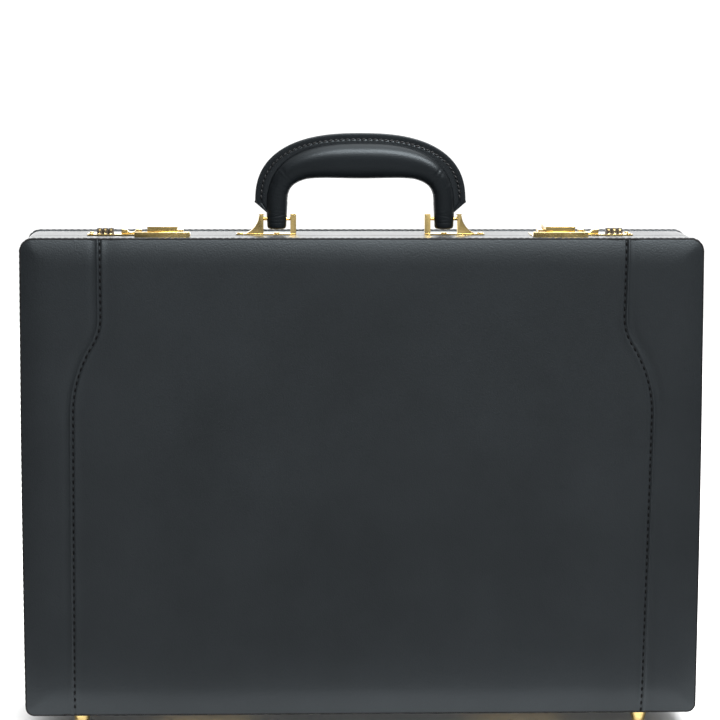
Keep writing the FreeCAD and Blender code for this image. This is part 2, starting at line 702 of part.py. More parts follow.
def build_locks():
    """Both combination locks; the right-hand one is drawn and the left one mirrored."""
    ears = hasp_ears()
    plate = fuse([lock_plate()] + ears)
    ear_reach = HASP_HALF
    pin = rod_x((HASP_X - ear_reach, HASP_X + ear_reach), HASP_PIVOT_Y, hasp_pivot_z(), HASP_PIVOT)
    plate = plate.cut(pin)
    rivets = [dome(LOCK_RIVET_X, LOCK_Y + sign * LOCK_RIVET_Y, PLATE_Z, LOCK_RIVET) for sign in (-1, 1)]
    strike_rivets = [dome(HASP_X + sign * STRIKE_RIVET_X, STRIKE_CATCH_Y, PLATE_Z, STRIKE_RIVET)
                     for sign in (-1, 1)]
    axle = rod_x((CASE_INNER_X + CASE_WALL, CASE_OUTER_X - CASE_WALL), LOCK_Y, DIAL_Z, DIAL_AXLE)
    stem_half = BUTTON_STEM_HALF + CLEARANCE
    middle = (BUTTON_OUTER_X + BUTTON_INNER_X) / 2
    axle = axle.cut(block((CASE_INNER_X, middle + stem_half + BUTTON_TRAVEL),
                          (LOCK_Y - DIAL_AXLE * 2, LOCK_Y + DIAL_AXLE * 2), (0, PLATE_Z)))
    bearing_x = middle + stem_half + BUTTON_TRAVEL
    bearing = block((bearing_x, bearing_x + DIAL_AXLE),
                    (LOCK_Y - CASE_HALF_Y + CASE_WALL, LOCK_Y + CASE_HALF_Y - CASE_WALL),
                    (Z_HIGH - CASE_DEPTH + CASE_WALL, Z_HIGH))
    case = fuse([lock_case(), bearing]).cut(axle)
    for name, side in SIDES.items():
        save(name + "_lock_plate", [on_side(plate, side)])
        save(name + "_hasp", [on_side(hasp(), side)])
        save(name + "_button", [on_side(button(), side)])
        for index in range(DIALS):
            save(name + "_dial_" + str(index + 1), [on_side(dial(index), side)])
    save("lock_cases", pair(case))
    save("lock_rivets", rivets + [mirrored(rivet) for rivet in rivets])
    save("hasp_pins", pair(pin))
    save("dial_axles", pair(axle))
    save("lock_strikes", pair(strike()))
    save("strike_rivets", strike_rivets + [mirrored(rivet) for rivet in strike_rivets])


# ---- folding stays: the arms and the two shells form a parallelogram ----
def stay_points():
    """Pivots on the base and the lid and the elbow, as (y, z) at rest."""
    base = (STAY_A_Y, STAY_PIVOT_Z)
    lid = (STAY_B_Y, STAY_PIVOT_Z)
    elbow = (base[0] + lid[0] - PART_Y, base[1] + lid[1] - HINGE_Z)
    return base, lid, elbow


def stay_arm(xs, start, end):
    """A flat bar with round ends between two pivots."""
    across = point(0, end[0] - start[0], end[1] - start[1])
    length = across.Length
    bar = Part.makeBox(max(xs) - min(xs), length, 2 * STAY_HALF)
    bar.translate(point(0, 0, -STAY_HALF))
    bar.rotate(point(0, 0, 0), X_AXIS, math.degrees(math.atan2(across.z, across.y)))
    bar.translate(point(min(xs), start[0], start[1]))
    ends = [rod_x(xs, y, z, STAY_HALF) for y, z in (start, end)]
    return fuse([bar] + ends)


def stay_pivot(arm_xs, centre):
    """Plate against the lining with a headed pin that reaches through its arm."""
    y, z = centre
    plate_in = INSIDE_X - STAY_PLATE
    plate = block((plate_in, INSIDE_X), (y - STAY_PLATE_HALF_Y, y + STAY_PLATE_HALF_Y),
                  (z - STAY_PLATE_HALF_Z, z + STAY_PLATE_HALF_Z))
    head_out = min(arm_xs) - CLEARANCE
    pin = rod_x((head_out, plate_in), y, z, STAY_PIN)
    head = rod_x((head_out - STAY_PLATE / 2, head_out), y, z, STAY_HEAD)
    return fuse([plate, pin, head])


def build_stays():
    """Two folding stays, one on each side wall."""
    base, lid, elbow = stay_points()
    base_out = INSIDE_X - STAY_PLATE - CLEARANCE
    base_xs = (base_out - STAY_ARM, base_out)
    lid_out = base_xs[0] - CLEARANCE * 2 - STAY_PLATE
    lid_xs = (lid_out - STAY_ARM, lid_out)
    elbow_head = lid_xs[0] - CLEARANCE
    elbow_pin = rod_x((elbow_head, base_xs[0]), elbow[0], elbow[1], STAY_PIN)
    head = rod_x((elbow_head - STAY_PLATE / 2, elbow_head), elbow[0], elbow[1], STAY_HEAD)
    base_hole = rod_x(base_xs, base[0], base[1], STAY_PIN + RUNNING)
    lid_hole = rod_x(lid_xs, lid[0], lid[1], STAY_PIN + RUNNING)
    elbow_hole = rod_x(lid_xs, elbow[0], elbow[1], STAY_PIN + CLEARANCE)
    base_arm = fuse([stay_arm(base_xs, base, elbow).cut(base_hole), elbow_pin, head])
    lid_arm = stay_arm(lid_xs, lid, elbow).cut(lid_hole).cut(elbow_hole)
    for name, side in SIDES.items():
        save(name + "_base_stay_arm", [on_side(base_arm, side)])
        save(name + "_lid_stay_arm", [on_side(lid_arm, side)])
    save("base_stay_pivots", pair(stay_pivot(base_xs, base)))
    save("lid_stay_pivots", pair(stay_pivot(lid_xs, lid)))


# ---- lid pockets ----
def file_pocket():
    """Full-width document pocket sewn to the lid lining, open at the top."""
    back = -BACK_Y
    outer = block((-POCKET_HALF, POCKET_HALF), (back, back + POCKET_DEPTH),
                  (INSIDE_LOW + POCKET_DEPTH, POCKET_TOP))
    inner = block((-POCKET_HALF + POCKET_LEATHER, POCKET_HALF - POCKET_LEATHER),
                  (back, back + POCKET_DEPTH - POCKET_LEATHER),
                  (INSIDE_LOW + POCKET_DEPTH + POCKET_LEATHER, POCKET_TOP))
    return outer.cut(inner)


def card_pocket():
    """Small pocket on the front of the file pocket."""
    front = -BACK_Y + POCKET_DEPTH
    return block((CARD_X - CARD_HALF, CARD_X + CARD_HALF), (front, front + POCKET_LEATHER),
                 (POCKET_TOP - CARD_HEIGHT, POCKET_TOP - POCKET_DEPTH))


# ---- build ----
os.makedirs("parts", exist_ok=True)
build_shell("lid", LID_EDGE, -1)
build_shell("base", BASE_EDGE, 1)
save("base_closing_lip", [closing_lip()])
build_hinges()
build_feet()
build_handle()
build_brackets()
build_locks()
build_stays()
save("lid_file_pocket", [file_pocket()])
save("lid_card_pocket", [card_pocket()])
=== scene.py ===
import json
import math
import random

import bmesh
import bpy
import numpy as np
from mathutils import Matrix, Vector

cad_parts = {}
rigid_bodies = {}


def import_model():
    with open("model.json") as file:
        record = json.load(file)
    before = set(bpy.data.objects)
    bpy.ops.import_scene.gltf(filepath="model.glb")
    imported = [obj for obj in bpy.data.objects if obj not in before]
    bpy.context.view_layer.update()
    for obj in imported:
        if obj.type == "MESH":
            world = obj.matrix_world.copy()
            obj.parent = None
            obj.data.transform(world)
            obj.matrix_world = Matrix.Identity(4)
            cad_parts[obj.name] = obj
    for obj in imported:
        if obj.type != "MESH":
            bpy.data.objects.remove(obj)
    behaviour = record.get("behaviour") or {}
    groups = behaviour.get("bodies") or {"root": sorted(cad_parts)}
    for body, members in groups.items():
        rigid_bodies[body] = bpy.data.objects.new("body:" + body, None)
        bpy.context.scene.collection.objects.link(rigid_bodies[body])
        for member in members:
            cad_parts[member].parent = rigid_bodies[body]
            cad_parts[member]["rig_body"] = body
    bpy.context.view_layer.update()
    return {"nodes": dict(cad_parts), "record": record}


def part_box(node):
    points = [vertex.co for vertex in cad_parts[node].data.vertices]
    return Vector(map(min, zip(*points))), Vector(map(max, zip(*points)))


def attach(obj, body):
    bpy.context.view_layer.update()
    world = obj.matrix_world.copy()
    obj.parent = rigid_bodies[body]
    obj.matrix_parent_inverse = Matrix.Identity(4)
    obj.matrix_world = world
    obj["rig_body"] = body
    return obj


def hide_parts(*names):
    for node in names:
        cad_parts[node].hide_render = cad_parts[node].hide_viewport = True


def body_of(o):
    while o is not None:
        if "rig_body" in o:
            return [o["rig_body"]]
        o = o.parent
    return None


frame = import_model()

MM = 0.001
random.seed(11)

# ---- places read from the frame, in metres ----
WALL_LOW, WALL_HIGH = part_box("base_wall_leather")
HALF_W = WALL_HIGH.x
Z_LOW = WALL_LOW.z
Z_HIGH = WALL_HIGH.z
WALL_Y = WALL_HIGH.y
BASE_EDGE = WALL_LOW.y
LID_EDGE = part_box("lid_wall_leather")[1].y
MIDDLE_Z = (Z_LOW + Z_HIGH) / 2
PIN_LOW, PIN_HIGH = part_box("handle_pins")
PIN = Vector((0, (PIN_LOW.y + PIN_HIGH.y) / 2, (PIN_LOW.z + PIN_HIGH.z) / 2))
SHELLS = {"lid": -1, "base": 1}
SIDES = {"left": -1, "right": 1}

# ---- outline ----
TOP_RADIUS = 8 * MM
BOTTOM_RADIUS = 5 * MM
TAPER_START = 215 * MM
TAPER = 1.5 * MM
LEATHER = 1.4 * MM

# ---- seams between centre and side panels, as on the CAD panels ----
SEAM_RIM = {-1: 172.2 * MM, 1: 173.4 * MM}
SEAM_TOP = {-1: 172.0 * MM, 1: 172.2 * MM}
SEAM_MID = {-1: 190.3 * MM, 1: 191.2 * MM}
SEAM_LOW = {-1: 191.4 * MM, 1: 187.4 * MM}
SEAM_BEND_TOP = 51 * MM
SEAM_BEND_DROP = 64 * MM
SEAM_UPPER_RADIUS = 35 * MM
LAP = 1.7 * MM

# ---- face leather ----
EDGE_LEVEL = 0.9 * MM
PAD = 2.5 * MM
ROLL = 18 * MM
ROLL_POWER = 1.95
CROWN = 0.5 * MM

# ---- stitches ----
SEAM_PITCH = 4.7 * MM
SEAM_STITCH = 3.2 * MM
SEAM_TOP_GAP = 1.6 * MM
SEAM_FOOT_GAP = 3 * MM
THREAD = 0.58 * MM
ROPE_PITCH = 4.2 * MM
ROPE_SLANT = math.radians(24)


# ---- materials ----
def new_material(name):
    """An empty node material and helpers to add nodes and links."""
    material = bpy.data.materials.new(name)
    material.use_nodes = True
    tree = material.node_tree
    shader = tree.nodes["Principled BSDF"]

    def add(kind, **inputs):
        node = tree.nodes.new(kind)
        for key, value in inputs.items():
            label = key.replace("_", " ")
            if label in node.inputs:
                node.inputs[label].default_value = value
            else:
                setattr(node, key, value)
        return node

    return material, shader, add, tree.links.new


def coordinates(add):
    """Object coordinates, which are the row frame in metres."""
    return add("ShaderNodeTexCoord").outputs["Object"]


def texture(add, link, place, kind, **inputs):
    """A texture node fed by a place."""
    node = add(kind, **inputs)
    link(place, node.inputs["Vector"])
    return node


def noise(add, link, place, **inputs):
    """A noise texture fed by a place."""
    return texture(add, link, place, "ShaderNodeTexNoise", **inputs)


def ramp(add, link, source, stops):
    """A colour ramp fed by a value; stops are (place, colour)."""
    node = add("ShaderNodeValToRGB")
    elements = node.color_ramp.elements
    while len(elements) < len(stops):
        elements.new(0.5)
    for element, (place, colour) in zip(elements, stops):
        element.position = place
        element.color = (*colour, 1)
    link(source, node.inputs["Fac"])
    return node.outputs["Color"]


def map_value(add, link, source, low, high):
    """Source between 0 and 1 spread between low and high."""
    node = add("ShaderNodeMapRange", To_Min=low, To_Max=high)
    link(source, node.inputs["Value"])
    return node.outputs["Result"]


def bump_chain(add, link, layers):
    """Bumps laid over each other; layers are (height socket, distance, strength)."""
    normal = None
    for height, distance, strength in layers:
        node = add("ShaderNodeBump", Distance=distance, Strength=strength)
        link(height, node.inputs["Height"])
        if normal:
            link(normal, node.inputs["Normal"])
        normal = node.outputs["Normal"]
    return normal


def leather(name, dark, light, rough=(0.36, 0.47), grain=1150, depth=0.00015, wear=0.35,
            gloss=0.4):
    """Finely grained leather: pebbles with painted shade between them, pores, cloudy tone and rubbed
    high spots.
    """
    material, shader, add, link = new_material(name)
    place = coordinates(add)
    warp = noise(add, link, place, Scale=grain / 3, Detail=2.0)
    shift = add("ShaderNodeVectorMath", operation="SCALE", Scale=0.0009)
    link(warp.outputs["Color"], shift.inputs[0])
    bent = add("ShaderNodeVectorMath", operation="ADD")
    link(place, bent.inputs[0])
    link(shift.outputs["Vector"], bent.inputs[1])
    pebbles = add("ShaderNodeTexVoronoi", Scale=grain, Randomness=0.95)
    pebbles.feature = "SMOOTH_F1"
    link(bent.outputs["Vector"], pebbles.inputs["Vector"])
    creases = add("ShaderNodeTexVoronoi", Scale=grain / 2.6, Randomness=1.0)
    creases.feature = "DISTANCE_TO_EDGE"
    link(bent.outputs["Vector"], creases.inputs["Vector"])
    crease_line = add("ShaderNodeMapRange", From_Max=0.09)
    link(creases.outputs["Distance"], crease_line.inputs["Value"])
    pores = noise(add, link, place, Scale=grain * 2.3, Detail=3.0)
    clouds = noise(add, link, place, Scale=11.0, Detail=4.0, Roughness=0.6)
    tone = ramp(add, link, clouds.outputs["Fac"], ((0.34, dark), (0.68, light)))
    # painted shade: the tone is darkened in the valleys between the pebbles, where shade would fall
    valley = add("ShaderNodeMix", data_type="RGBA", blend_type="MULTIPLY")
    valley.inputs["Factor"].default_value = 0.5
    shade = ramp(add, link, pebbles.outputs["Distance"], ((0.25, (1, 1, 1)),
                                                          (0.75, (0.55, 0.55, 0.55))))
    link(tone, valley.inputs["A"])
    link(shade, valley.inputs["B"])
    rubbed = add("ShaderNodeNewGeometry").outputs["Pointiness"]
    edge = add("ShaderNodeMapRange", From_Min=0.52, From_Max=0.62, To_Max=wear)
    link(rubbed, edge.inputs["Value"])
    worn = add("ShaderNodeMix", data_type="RGBA")
    worn.inputs["B"].default_value = (*[min(1, c * 2.4 + 0.01) for c in light], 1)
    link(edge.outputs["Result"], worn.inputs["Factor"])
    link(valley.outputs["Result"], worn.inputs["A"])
    link(worn.outputs["Result"], shader.inputs["Base Color"])
    link(map_value(add, link, clouds.outputs["Fac"], rough[1], rough[0]), shader.inputs["Roughness"])
    pebble_height = map_value(add, link, pebbles.outputs["Distance"], 1, 0)
    link(bump_chain(add, link, ((pores.outputs["Fac"], depth / 3, 0.35),
                                (pebble_height, depth, 0.5),
                                (crease_line.outputs["Result"], depth * 0.5, 0.12))),
         shader.inputs["Normal"])
    shader.inputs["Specular IOR Level"].default_value = gloss
    shader.inputs["Specular Tint"].default_value = (0.84, 0.94, 1.0, 1)
    return material


def edge_paint(name):
    """Glossy black paint on a cut leather edge."""
    material, shader, add, link = new_material(name)
    place = coordinates(add)
    spots = noise(add, link, place, Scale=420.0, Detail=3.0)
    # near-black paint; on the face bead this also stands in for painted shade in the crease by the
    # welt
    link(ramp(add, link, spots.outputs["Fac"], ((0.3, (0.003, 0.003, 0.003)),
                                                (0.75, (0.009, 0.009, 0.010)))),
         shader.inputs["Base Color"])
    link(map_value(add, link, spots.outputs["Fac"], 0.3, 0.55), shader.inputs["Roughness"])
    link(bump_chain(add, link, ((spots.outputs["Fac"], 0.0001, 0.3),)), shader.inputs["Normal"])
    shader.inputs["Specular IOR Level"].default_value = 0.1
    return material


def thread(name, colour, rough=0.5, gloss=0.3):
    """Waxed sewing thread with twisted strands."""
    material, shader, add, link = new_material(name)
    place = coordinates(add)
    twist = add("ShaderNodeTexWave", Scale=900.0, Distortion=1.5)
    twist.bands_direction = "DIAGONAL"
    link(place, twist.inputs["Vector"])
    light = tuple(c * 2.2 for c in colour)
    link(ramp(add, link, twist.outputs["Fac"], ((0.2, colour), (0.9, light))),
         shader.inputs["Base Color"])
    link(bump_chain(add, link, ((twist.outputs["Fac"], 0.00012, 0.5),)), shader.inputs["Normal"])
    link(map_value(add, link, twist.outputs["Fac"], rough + 0.1, rough - 0.1),
         shader.inputs["Roughness"])
    shader.inputs["Specular IOR Level"].default_value = gloss
    return material


def metal(name, tint, rough=(0.16, 0.34)):
    """Metal with fine rubbing marks, handling haze and dull low spots."""
    material, shader, add, link = new_material(name)
    place = coordinates(add)
    haze = noise(add, link, place, Scale=130.0, Detail=5.0)
    squeeze = add("ShaderNodeMapping")
    squeeze.inputs["Scale"].default_value = (300, 2600, 2600)
    link(place, squeeze.inputs["Vector"])
    rub = noise(add, link, squeeze.outputs["Vector"], Scale=1.0, Detail=2.0)
    dull = tuple(c * 0.62 for c in tint)
    link(ramp(add, link, haze.outputs["Fac"], ((0.36, dull), (0.58, tint))),
         shader.inputs["Base Color"])
    link(map_value(add, link, haze.outputs["Fac"], rough[1], rough[0]), shader.inputs["Roughness"])
    link(bump_chain(add, link, ((rub.outputs["Fac"], 0.00003, 0.35),
                                (haze.outputs["Fac"], 0.0001, 0.15))), shader.inputs["Normal"])
    shader.inputs["Metallic"].default_value = 1.0
    return material


def suede(name, dark, light):
    """Napped lining cloth with brushed patches."""
    material, shader, add, link = new_material(name)
    place = coordinates(add)
    nap = noise(add, link, place, Scale=1500.0, Detail=4.0)
    brushed = noise(add, link, place, Scale=24.0, Detail=5.0, Distortion=0.7)
    tone = ramp(add, link, brushed.outputs["Fac"], ((0.32, dark), (0.7, light)))
    fleck = add("ShaderNodeMix", data_type="RGBA", blend_type="MULTIPLY")
    fleck.inputs["Factor"].default_value = 0.45
    link(tone, fleck.inputs["A"])
    link(ramp(add, link, nap.outputs["Fac"], ((0.3, (0.5, 0.5, 0.5)), (0.6, (1, 1, 1)))),
         fleck.inputs["B"])
    link(fleck.outputs["Result"], shader.inputs["Base Color"])
    link(map_value(add, link, brushed.outputs["Fac"], 0.85, 1.0), shader.inputs["Roughness"])
    link(bump_chain(add, link, ((nap.outputs["Fac"], 0.0005, 0.5),)), shader.inputs["Normal"])
    shader.inputs["Sheen Weight"].default_value = 0.35
    shader.inputs["Sheen Roughness"].default_value = 0.4
    return material


def board(name):
    """Bare plywood edge and face."""
    material, shader, add, link = new_material(name)
    place = coordinates(add)
    stretch = add("ShaderNodeMapping")
    stretch.inputs["Scale"].default_value = (12, 500, 130)
    link(place, stretch.inputs["Vector"])
    grain = noise(add, link, stretch.outputs["Vector"], Scale=1.0, Detail=5.0)
    link(ramp(add, link, grain.outputs["Fac"], ((0.3, (0.20, 0.12, 0.06)),
                                                (0.7, (0.42, 0.29, 0.16)))),
         shader.inputs["Base Color"])
    link(map_value(add, link, grain.outputs["Fac"], 0.6, 0.8), shader.inputs["Roughness"])
    link(bump_chain(add, link, ((grain.outputs["Fac"], 0.0002, 0.4),)), shader.inputs["Normal"])
    return material


MATERIALS = {
    "case_leather": leather("case_leather", (0.0030, 0.0038, 0.0046), (0.0058, 0.0070, 0.0082)),
    "edge_leather": leather("edge_leather", (0.003, 0.0036, 0.0042), (0.006, 0.007, 0.008),
                            rough=(0.30, 0.44), grain=1300, wear=0.5),
    "handle_leather": leather("handle_leather", (0.0028, 0.0036, 0.0044), (0.0055, 0.0068, 0.008),
                              rough=(0.27, 0.38), grain=1500, depth=0.00012,
                              gloss=0.24),
    "pocket_leather": leather("pocket_leather", (0.02, 0.014, 0.010), (0.042, 0.030, 0.022),
                              rough=(0.5, 0.65), grain=1000),
    "edge_paint": edge_paint("edge_paint"),
    "black_thread": thread("black_thread", (0.0012, 0.0012, 0.0014), gloss=0.08),
    "rope_thread": thread("rope_thread", (0.010, 0.011, 0.0125), rough=0.40, gloss=0.5),
    "handle_thread": thread("handle_thread", (0.0038, 0.0042, 0.0048), rough=0.45, gloss=0.3),
    "tan_thread": thread("tan_thread", (0.16, 0.10, 0.05)),
    "lining_cloth": suede("lining_cloth", (0.062, 0.042, 0.028), (0.090, 0.062, 0.042)),
    "case_board": board("case_board"),
    "steel": metal("steel", (0.56, 0.56, 0.55), rough=(0.28, 0.45)),
    "dial_metal": metal("dial_metal", (0.045, 0.036, 0.026), rough=(0.32, 0.5)),
    "brass": metal("brass", (0.86, 0.64, 0.26)),
}


def new_object(name, data):
    """An object in the scene's collection."""
    piece = bpy.data.objects.new(name, data)
    bpy.context.scene.collection.objects.link(piece)
    return piece


def dress(piece, name):
    """Give a piece one material."""
    piece.data.materials.clear()
    piece.data.materials.append(MATERIALS[name])


# ---- mesh helpers ----
def make_piece(name, points, faces, material, body, replaced=(), smooth=40):
    """A mesh piece in the row frame that rides on a body and stands for CAD nodes."""
    mesh = bpy.data.meshes.new(name)
    mesh.from_pydata([tuple(p) for p in points], [], faces)
    work = bmesh.new()
    work.from_mesh(mesh)
    bmesh.ops.recalc_face_normals(work, faces=work.faces)
    work.to_mesh(mesh)
    work.free()
    piece = new_object(name, mesh)
    return settle(piece, material, body, replaced, smooth)


def settle(piece, material, body, replaced, smooth):
    """Smooth shading up to an angle, material, body and replaced nodes."""
    for polygon in piece.data.polygons:
        polygon.use_smooth = True
    piece.data.set_sharp_from_angle(angle=math.radians(smooth))
    dress(piece, material)
    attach(piece, body)
    if replaced:
        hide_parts(*replaced)
    return piece


def apply_modifiers(piece):
    """Turn a piece's modifiers into its mesh."""
    bpy.context.view_layer.update()
    graph = bpy.context.evaluated_depsgraph_get()
    mesh = bpy.data.meshes.new_from_object(piece.evaluated_get(graph))
    piece.modifiers.clear()
    old = piece.data
    piece.data = mesh
    bpy.data.meshes.remove(old)


def eased_copy(node, width, material, segments=2):
    """A CAD node's shape with its hard edges eased, standing in for the node."""
    source = frame["nodes"][node]
    mesh = source.data.copy()
    work = bmesh.new()
    work.from_mesh(mesh)
    bmesh.ops.remove_doubles(work, verts=work.verts, dist=2e-6)
    bmesh.ops.dissolve_limit(work, angle_limit=math.radians(1.5), verts=work.verts,
                             edges=work.edges)
    work.to_mesh(mesh)
    work.free()
    piece = new_object(node + "_eased", mesh)
    bevel = piece.modifiers.new("ease", "BEVEL")
    bevel.width = width
    bevel.segments = segments
    bevel.limit_method = "ANGLE"
    bevel.angle_limit = math.radians(40)
    apply_modifiers(piece)
    return settle(piece, material, body_of(source)[0], (node,), 45)


def grid_faces(rows, columns, wrap_rows=False, wrap_columns=False, start=0):
    """Quads of a grid of points stored row by row."""
    faces = []
    for i in range(rows if wrap_rows else rows - 1):
        for j in range(columns if wrap_columns else columns - 1):
            a = i * columns + j
            b = i * columns + (j + 1) % columns
            c = ((i + 1) % rows) * columns + (j + 1) % columns
            d = ((i + 1) % rows) * columns + j
            faces.append((start + a, start + b, start + c, start + d))
    return faces


def slab_faces(rows, columns):
    """Faces of a front grid, a back grid stored after it and the rim between them."""
    count = rows * columns
    faces = grid_faces(rows, columns)
    faces += [tuple(reversed(face)) for face in grid_faces(rows, columns, start=count)]
    rim = list(range(columns)) + [i * columns + columns - 1 for i in range(1, rows)]
    rim += [(rows - 1) * columns + j for j in range(columns - 2, -1, -1)]
    rim += [i * columns for i in range(rows - 2, 0, -1)]
    faces += [(a, b, b + count, a + count) for a, b in zip(rim, rim[1:] + rim[:1])]
    return faces


def tube_piece(sections):
    """Points and faces of a closed tube through sections, with flat ends."""
    rows, columns = len(sections), len(sections[0])
    points = [p for section in sections for p in section]
    faces = grid_faces(rows, columns, wrap_columns=True)
    faces.append(tuple(range(columns)))
    faces.append(tuple(reversed(range((rows - 1) * columns, rows * columns))))
    return points, faces


class Pile:
    """Collects many small solids into one mesh."""

    def __init__(self):
        self.points = []
        self.faces = []

    def add(self, points, faces):
        start = len(self.points)
        self.points += [tuple(p) for p in points]
        self.faces += [tuple(start + i for i in face) for face in faces]


STITCH_RINGS = ((-1.0, 0.25), (-0.86, 0.72), (-0.5, 0.98), (0.0, 1.06), (0.5, 0.98), (0.86, 0.72),
                (1.0, 0.25))
STITCH_SIDES = 8


def stitch(pile, centre, along, outward, length, radius, sink=0.0):
    """One rounded stitch; its ends dip by sink below its middle."""
    along = along.normalized()
    outward = (outward - along * outward.dot(along)).normalized()
    across = along.cross(outward)
    sections = []
    for place, size in STITCH_RINGS:
        middle = centre + along * (place * length / 2) - outward * (sink * place * place)
        turns = [2 * math.pi * k / STITCH_SIDES for k in range(STITCH_SIDES)]
        sections.append([middle + (across * math.cos(a) + outward * math.sin(a)) * radius * size
                         for a in turns])
    pile.add(*tube_piece(sections))


# ---- case outline ----
def bowed(x, z):
    """Side walls draw in a little towards the foot."""
    down = max(0, (TAPER_START - z) / (TAPER_START - Z_LOW))
    return x - TAPER * math.copysign(min(abs(x) / HALF_W, 1) ** 3, x) * down ** 1.6


def outline(step=4 * MM, corner_steps=8):
    """Points (x, z) and outward normals round the case, anticlockwise from the bottom left."""
    corners = ((1, -1, BOTTOM_RADIUS, -90), (1, 1, TOP_RADIUS, 0), (-1, 1, TOP_RADIUS, 90),
               (-1, -1, BOTTOM_RADIUS, 180))
    arcs = []
    for sign_x, sign_z, radius, start in corners:
        cx = sign_x * (HALF_W - radius)
        cz = Z_HIGH - radius if sign_z > 0 else Z_LOW + radius
        arc = []
        for k in range(corner_steps + 1):
            angle = math.radians(start + 90 * k / corner_steps)
            arc.append((cx + radius * math.cos(angle), cz + radius * math.sin(angle),
                        math.cos(angle), math.sin(angle)))
        arcs.append(arc)
    points = []
    for arc, after in zip(arcs, arcs[1:] + arcs[:1]):
        points += arc
        a, b = arc[-1], after[0]
        count = max(1, round(math.hypot(b[0] - a[0], b[1] - a[1]) / step))
        for k in range(1, count):
            t = k / count
            points.append((a[0] + (b[0] - a[0]) * t, a[1] + (b[1] - a[1]) * t, a[2], a[3]))
    return points


def ring_piece(name, profile, material, body, replaced=(), step=4 * MM):
    """A closed profile of (y, out) swept round the case outline."""
    points = []
    path = outline(step)
    for x, z, nx, nz in path:
        for y, out in profile:
            points.append((bowed(x + nx * out, z), y, z + nz * out))
    faces = grid_faces(len(path), len(profile), wrap_rows=True, wrap_columns=True)
    return make_piece(name, points, faces, material, body, replaced)


def even_path(pitch, out):
    """Evenly spaced places round the outline: point, direction along and normal."""
    path = outline(1 * MM, 24)
    spots = [Vector((bowed(x + nx * out, z), 0, z + nz * out)) for x, z, nx, nz in path]
    normals = [Vector((nx, 0, nz)) for x, z, nx, nz in path]
    lengths = [0.0]
    for a, b in zip(spots, spots[1:] + spots[:1]):
        lengths.append(lengths[-1] + (b - a).length)
    count = round(lengths[-1] / pitch)
    places = []
    index = 0
    for k in range(count):
        target = lengths[-1] * k / count
        while lengths[index + 1] < target:
            index += 1
        t = (target - lengths[index]) / (lengths[index + 1] - lengths[index])
        after = (index + 1) % len(spots)
        spot = spots[index].lerp(spots[after], t)
        normal = normals[index].lerp(normals[after], t).normalized()
        places.append((spot, (spots[after] - spots[index]).normalized(), normal))
    return places


# ---- walls, welt and painted edge, which also stands in for the crease shade ----
def quarter(centre_y, centre_out, radius, start, steps=4):
    """Points of a quarter circle in a (y, out) profile."""
    return [(centre_y + radius * math.cos(math.radians(start + 90 * k / steps)),
             centre_out + radius * math.sin(math.radians(start + 90 * k / steps)))
            for k in range(steps + 1)]


def wall_piece(shell, side):
    """Wall leather with a turned, rounded edge at the parting line and a faint crown."""
    edge = LID_EDGE if side < 0 else BASE_EDGE
    turn = 0.6 * MM
    depth = abs(WALL_Y * side - edge)
    crown = 0.35 * MM
    profile = []
    for y, out in quarter(turn, -turn, turn, 90) + quarter(turn, -LEATHER + turn, turn, 180):
        profile.append((edge + side * y, out))
    profile += [(side * WALL_Y, -LEATHER), (side * WALL_Y, 0)]
    steps = 10
    for k in range(1, steps):
        t = 1 - k / steps
        profile.append((edge + side * (turn + (depth - turn) * t), crown * math.sin(math.pi * t)))
    piece = ring_piece(shell + "_wall_cover", profile, "case_leather", shell,
                       (shell + "_wall_leather",))
    if side > 0:
        cut_lock_openings(piece)
    return piece


LOCK_CUT_START = 28 * MM
LOCK_CUT_HEIGHT = 12 * MM


def cut_lock_openings(piece):
    """Openings in the top wall where the lock cases sit."""
    low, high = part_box("lock_cases")
    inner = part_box("right_lock_plate")[0].x + LOCK_CUT_START
    for sign in (-1, 1):
        xs = sorted((sign * inner, sign * (high.x + 0.05 * MM)))
        work = bmesh.new()
        size = Vector((xs[1] - xs[0], high.y - low.y, LOCK_CUT_HEIGHT))
        middle = Vector(((xs[0] + xs[1]) / 2, (low.y + high.y) / 2, Z_HIGH))
        bmesh.ops.create_cube(work, size=1, matrix=Matrix.Translation(middle)
                              @ Matrix.Diagonal((*size, 1)))
        mesh = bpy.data.meshes.new("lock_cutter")
        work.to_mesh(mesh)
        work.free()
        cutter = new_object("lock_cutter", mesh)
        cut = piece.modifiers.new("cut", "BOOLEAN")
        cut.operation = "DIFFERENCE"
        cut.solver = "EXACT"
        cut.object = cutter
        apply_modifiers(piece)
        bpy.data.objects.remove(cutter)


def binding_piece(shell, side):
    """Leather turned over the board's edge at the parting line."""
    edge = LID_EDGE if side < 0 else BASE_EDGE
    proud, back = 0.1 * MM, 0.5 * MM
    inner, outer = -6.35 * MM, -0.9 * MM
    profile = [(edge - side * proud, outer - 0.3 * MM), (edge - side * proud, inner + 0.4 * MM),
               (edge - side * proud * 0.4, inner + 0.1 * MM), (edge + side * 0.2 * MM, inner),
               (edge + side * back, inner), (edge + side * back, outer - 0.2 * MM),
               (edge + side * 0.1 * MM, outer)]
    ring_piece(shell + "_edge_binding", profile, "edge_leather", shell)


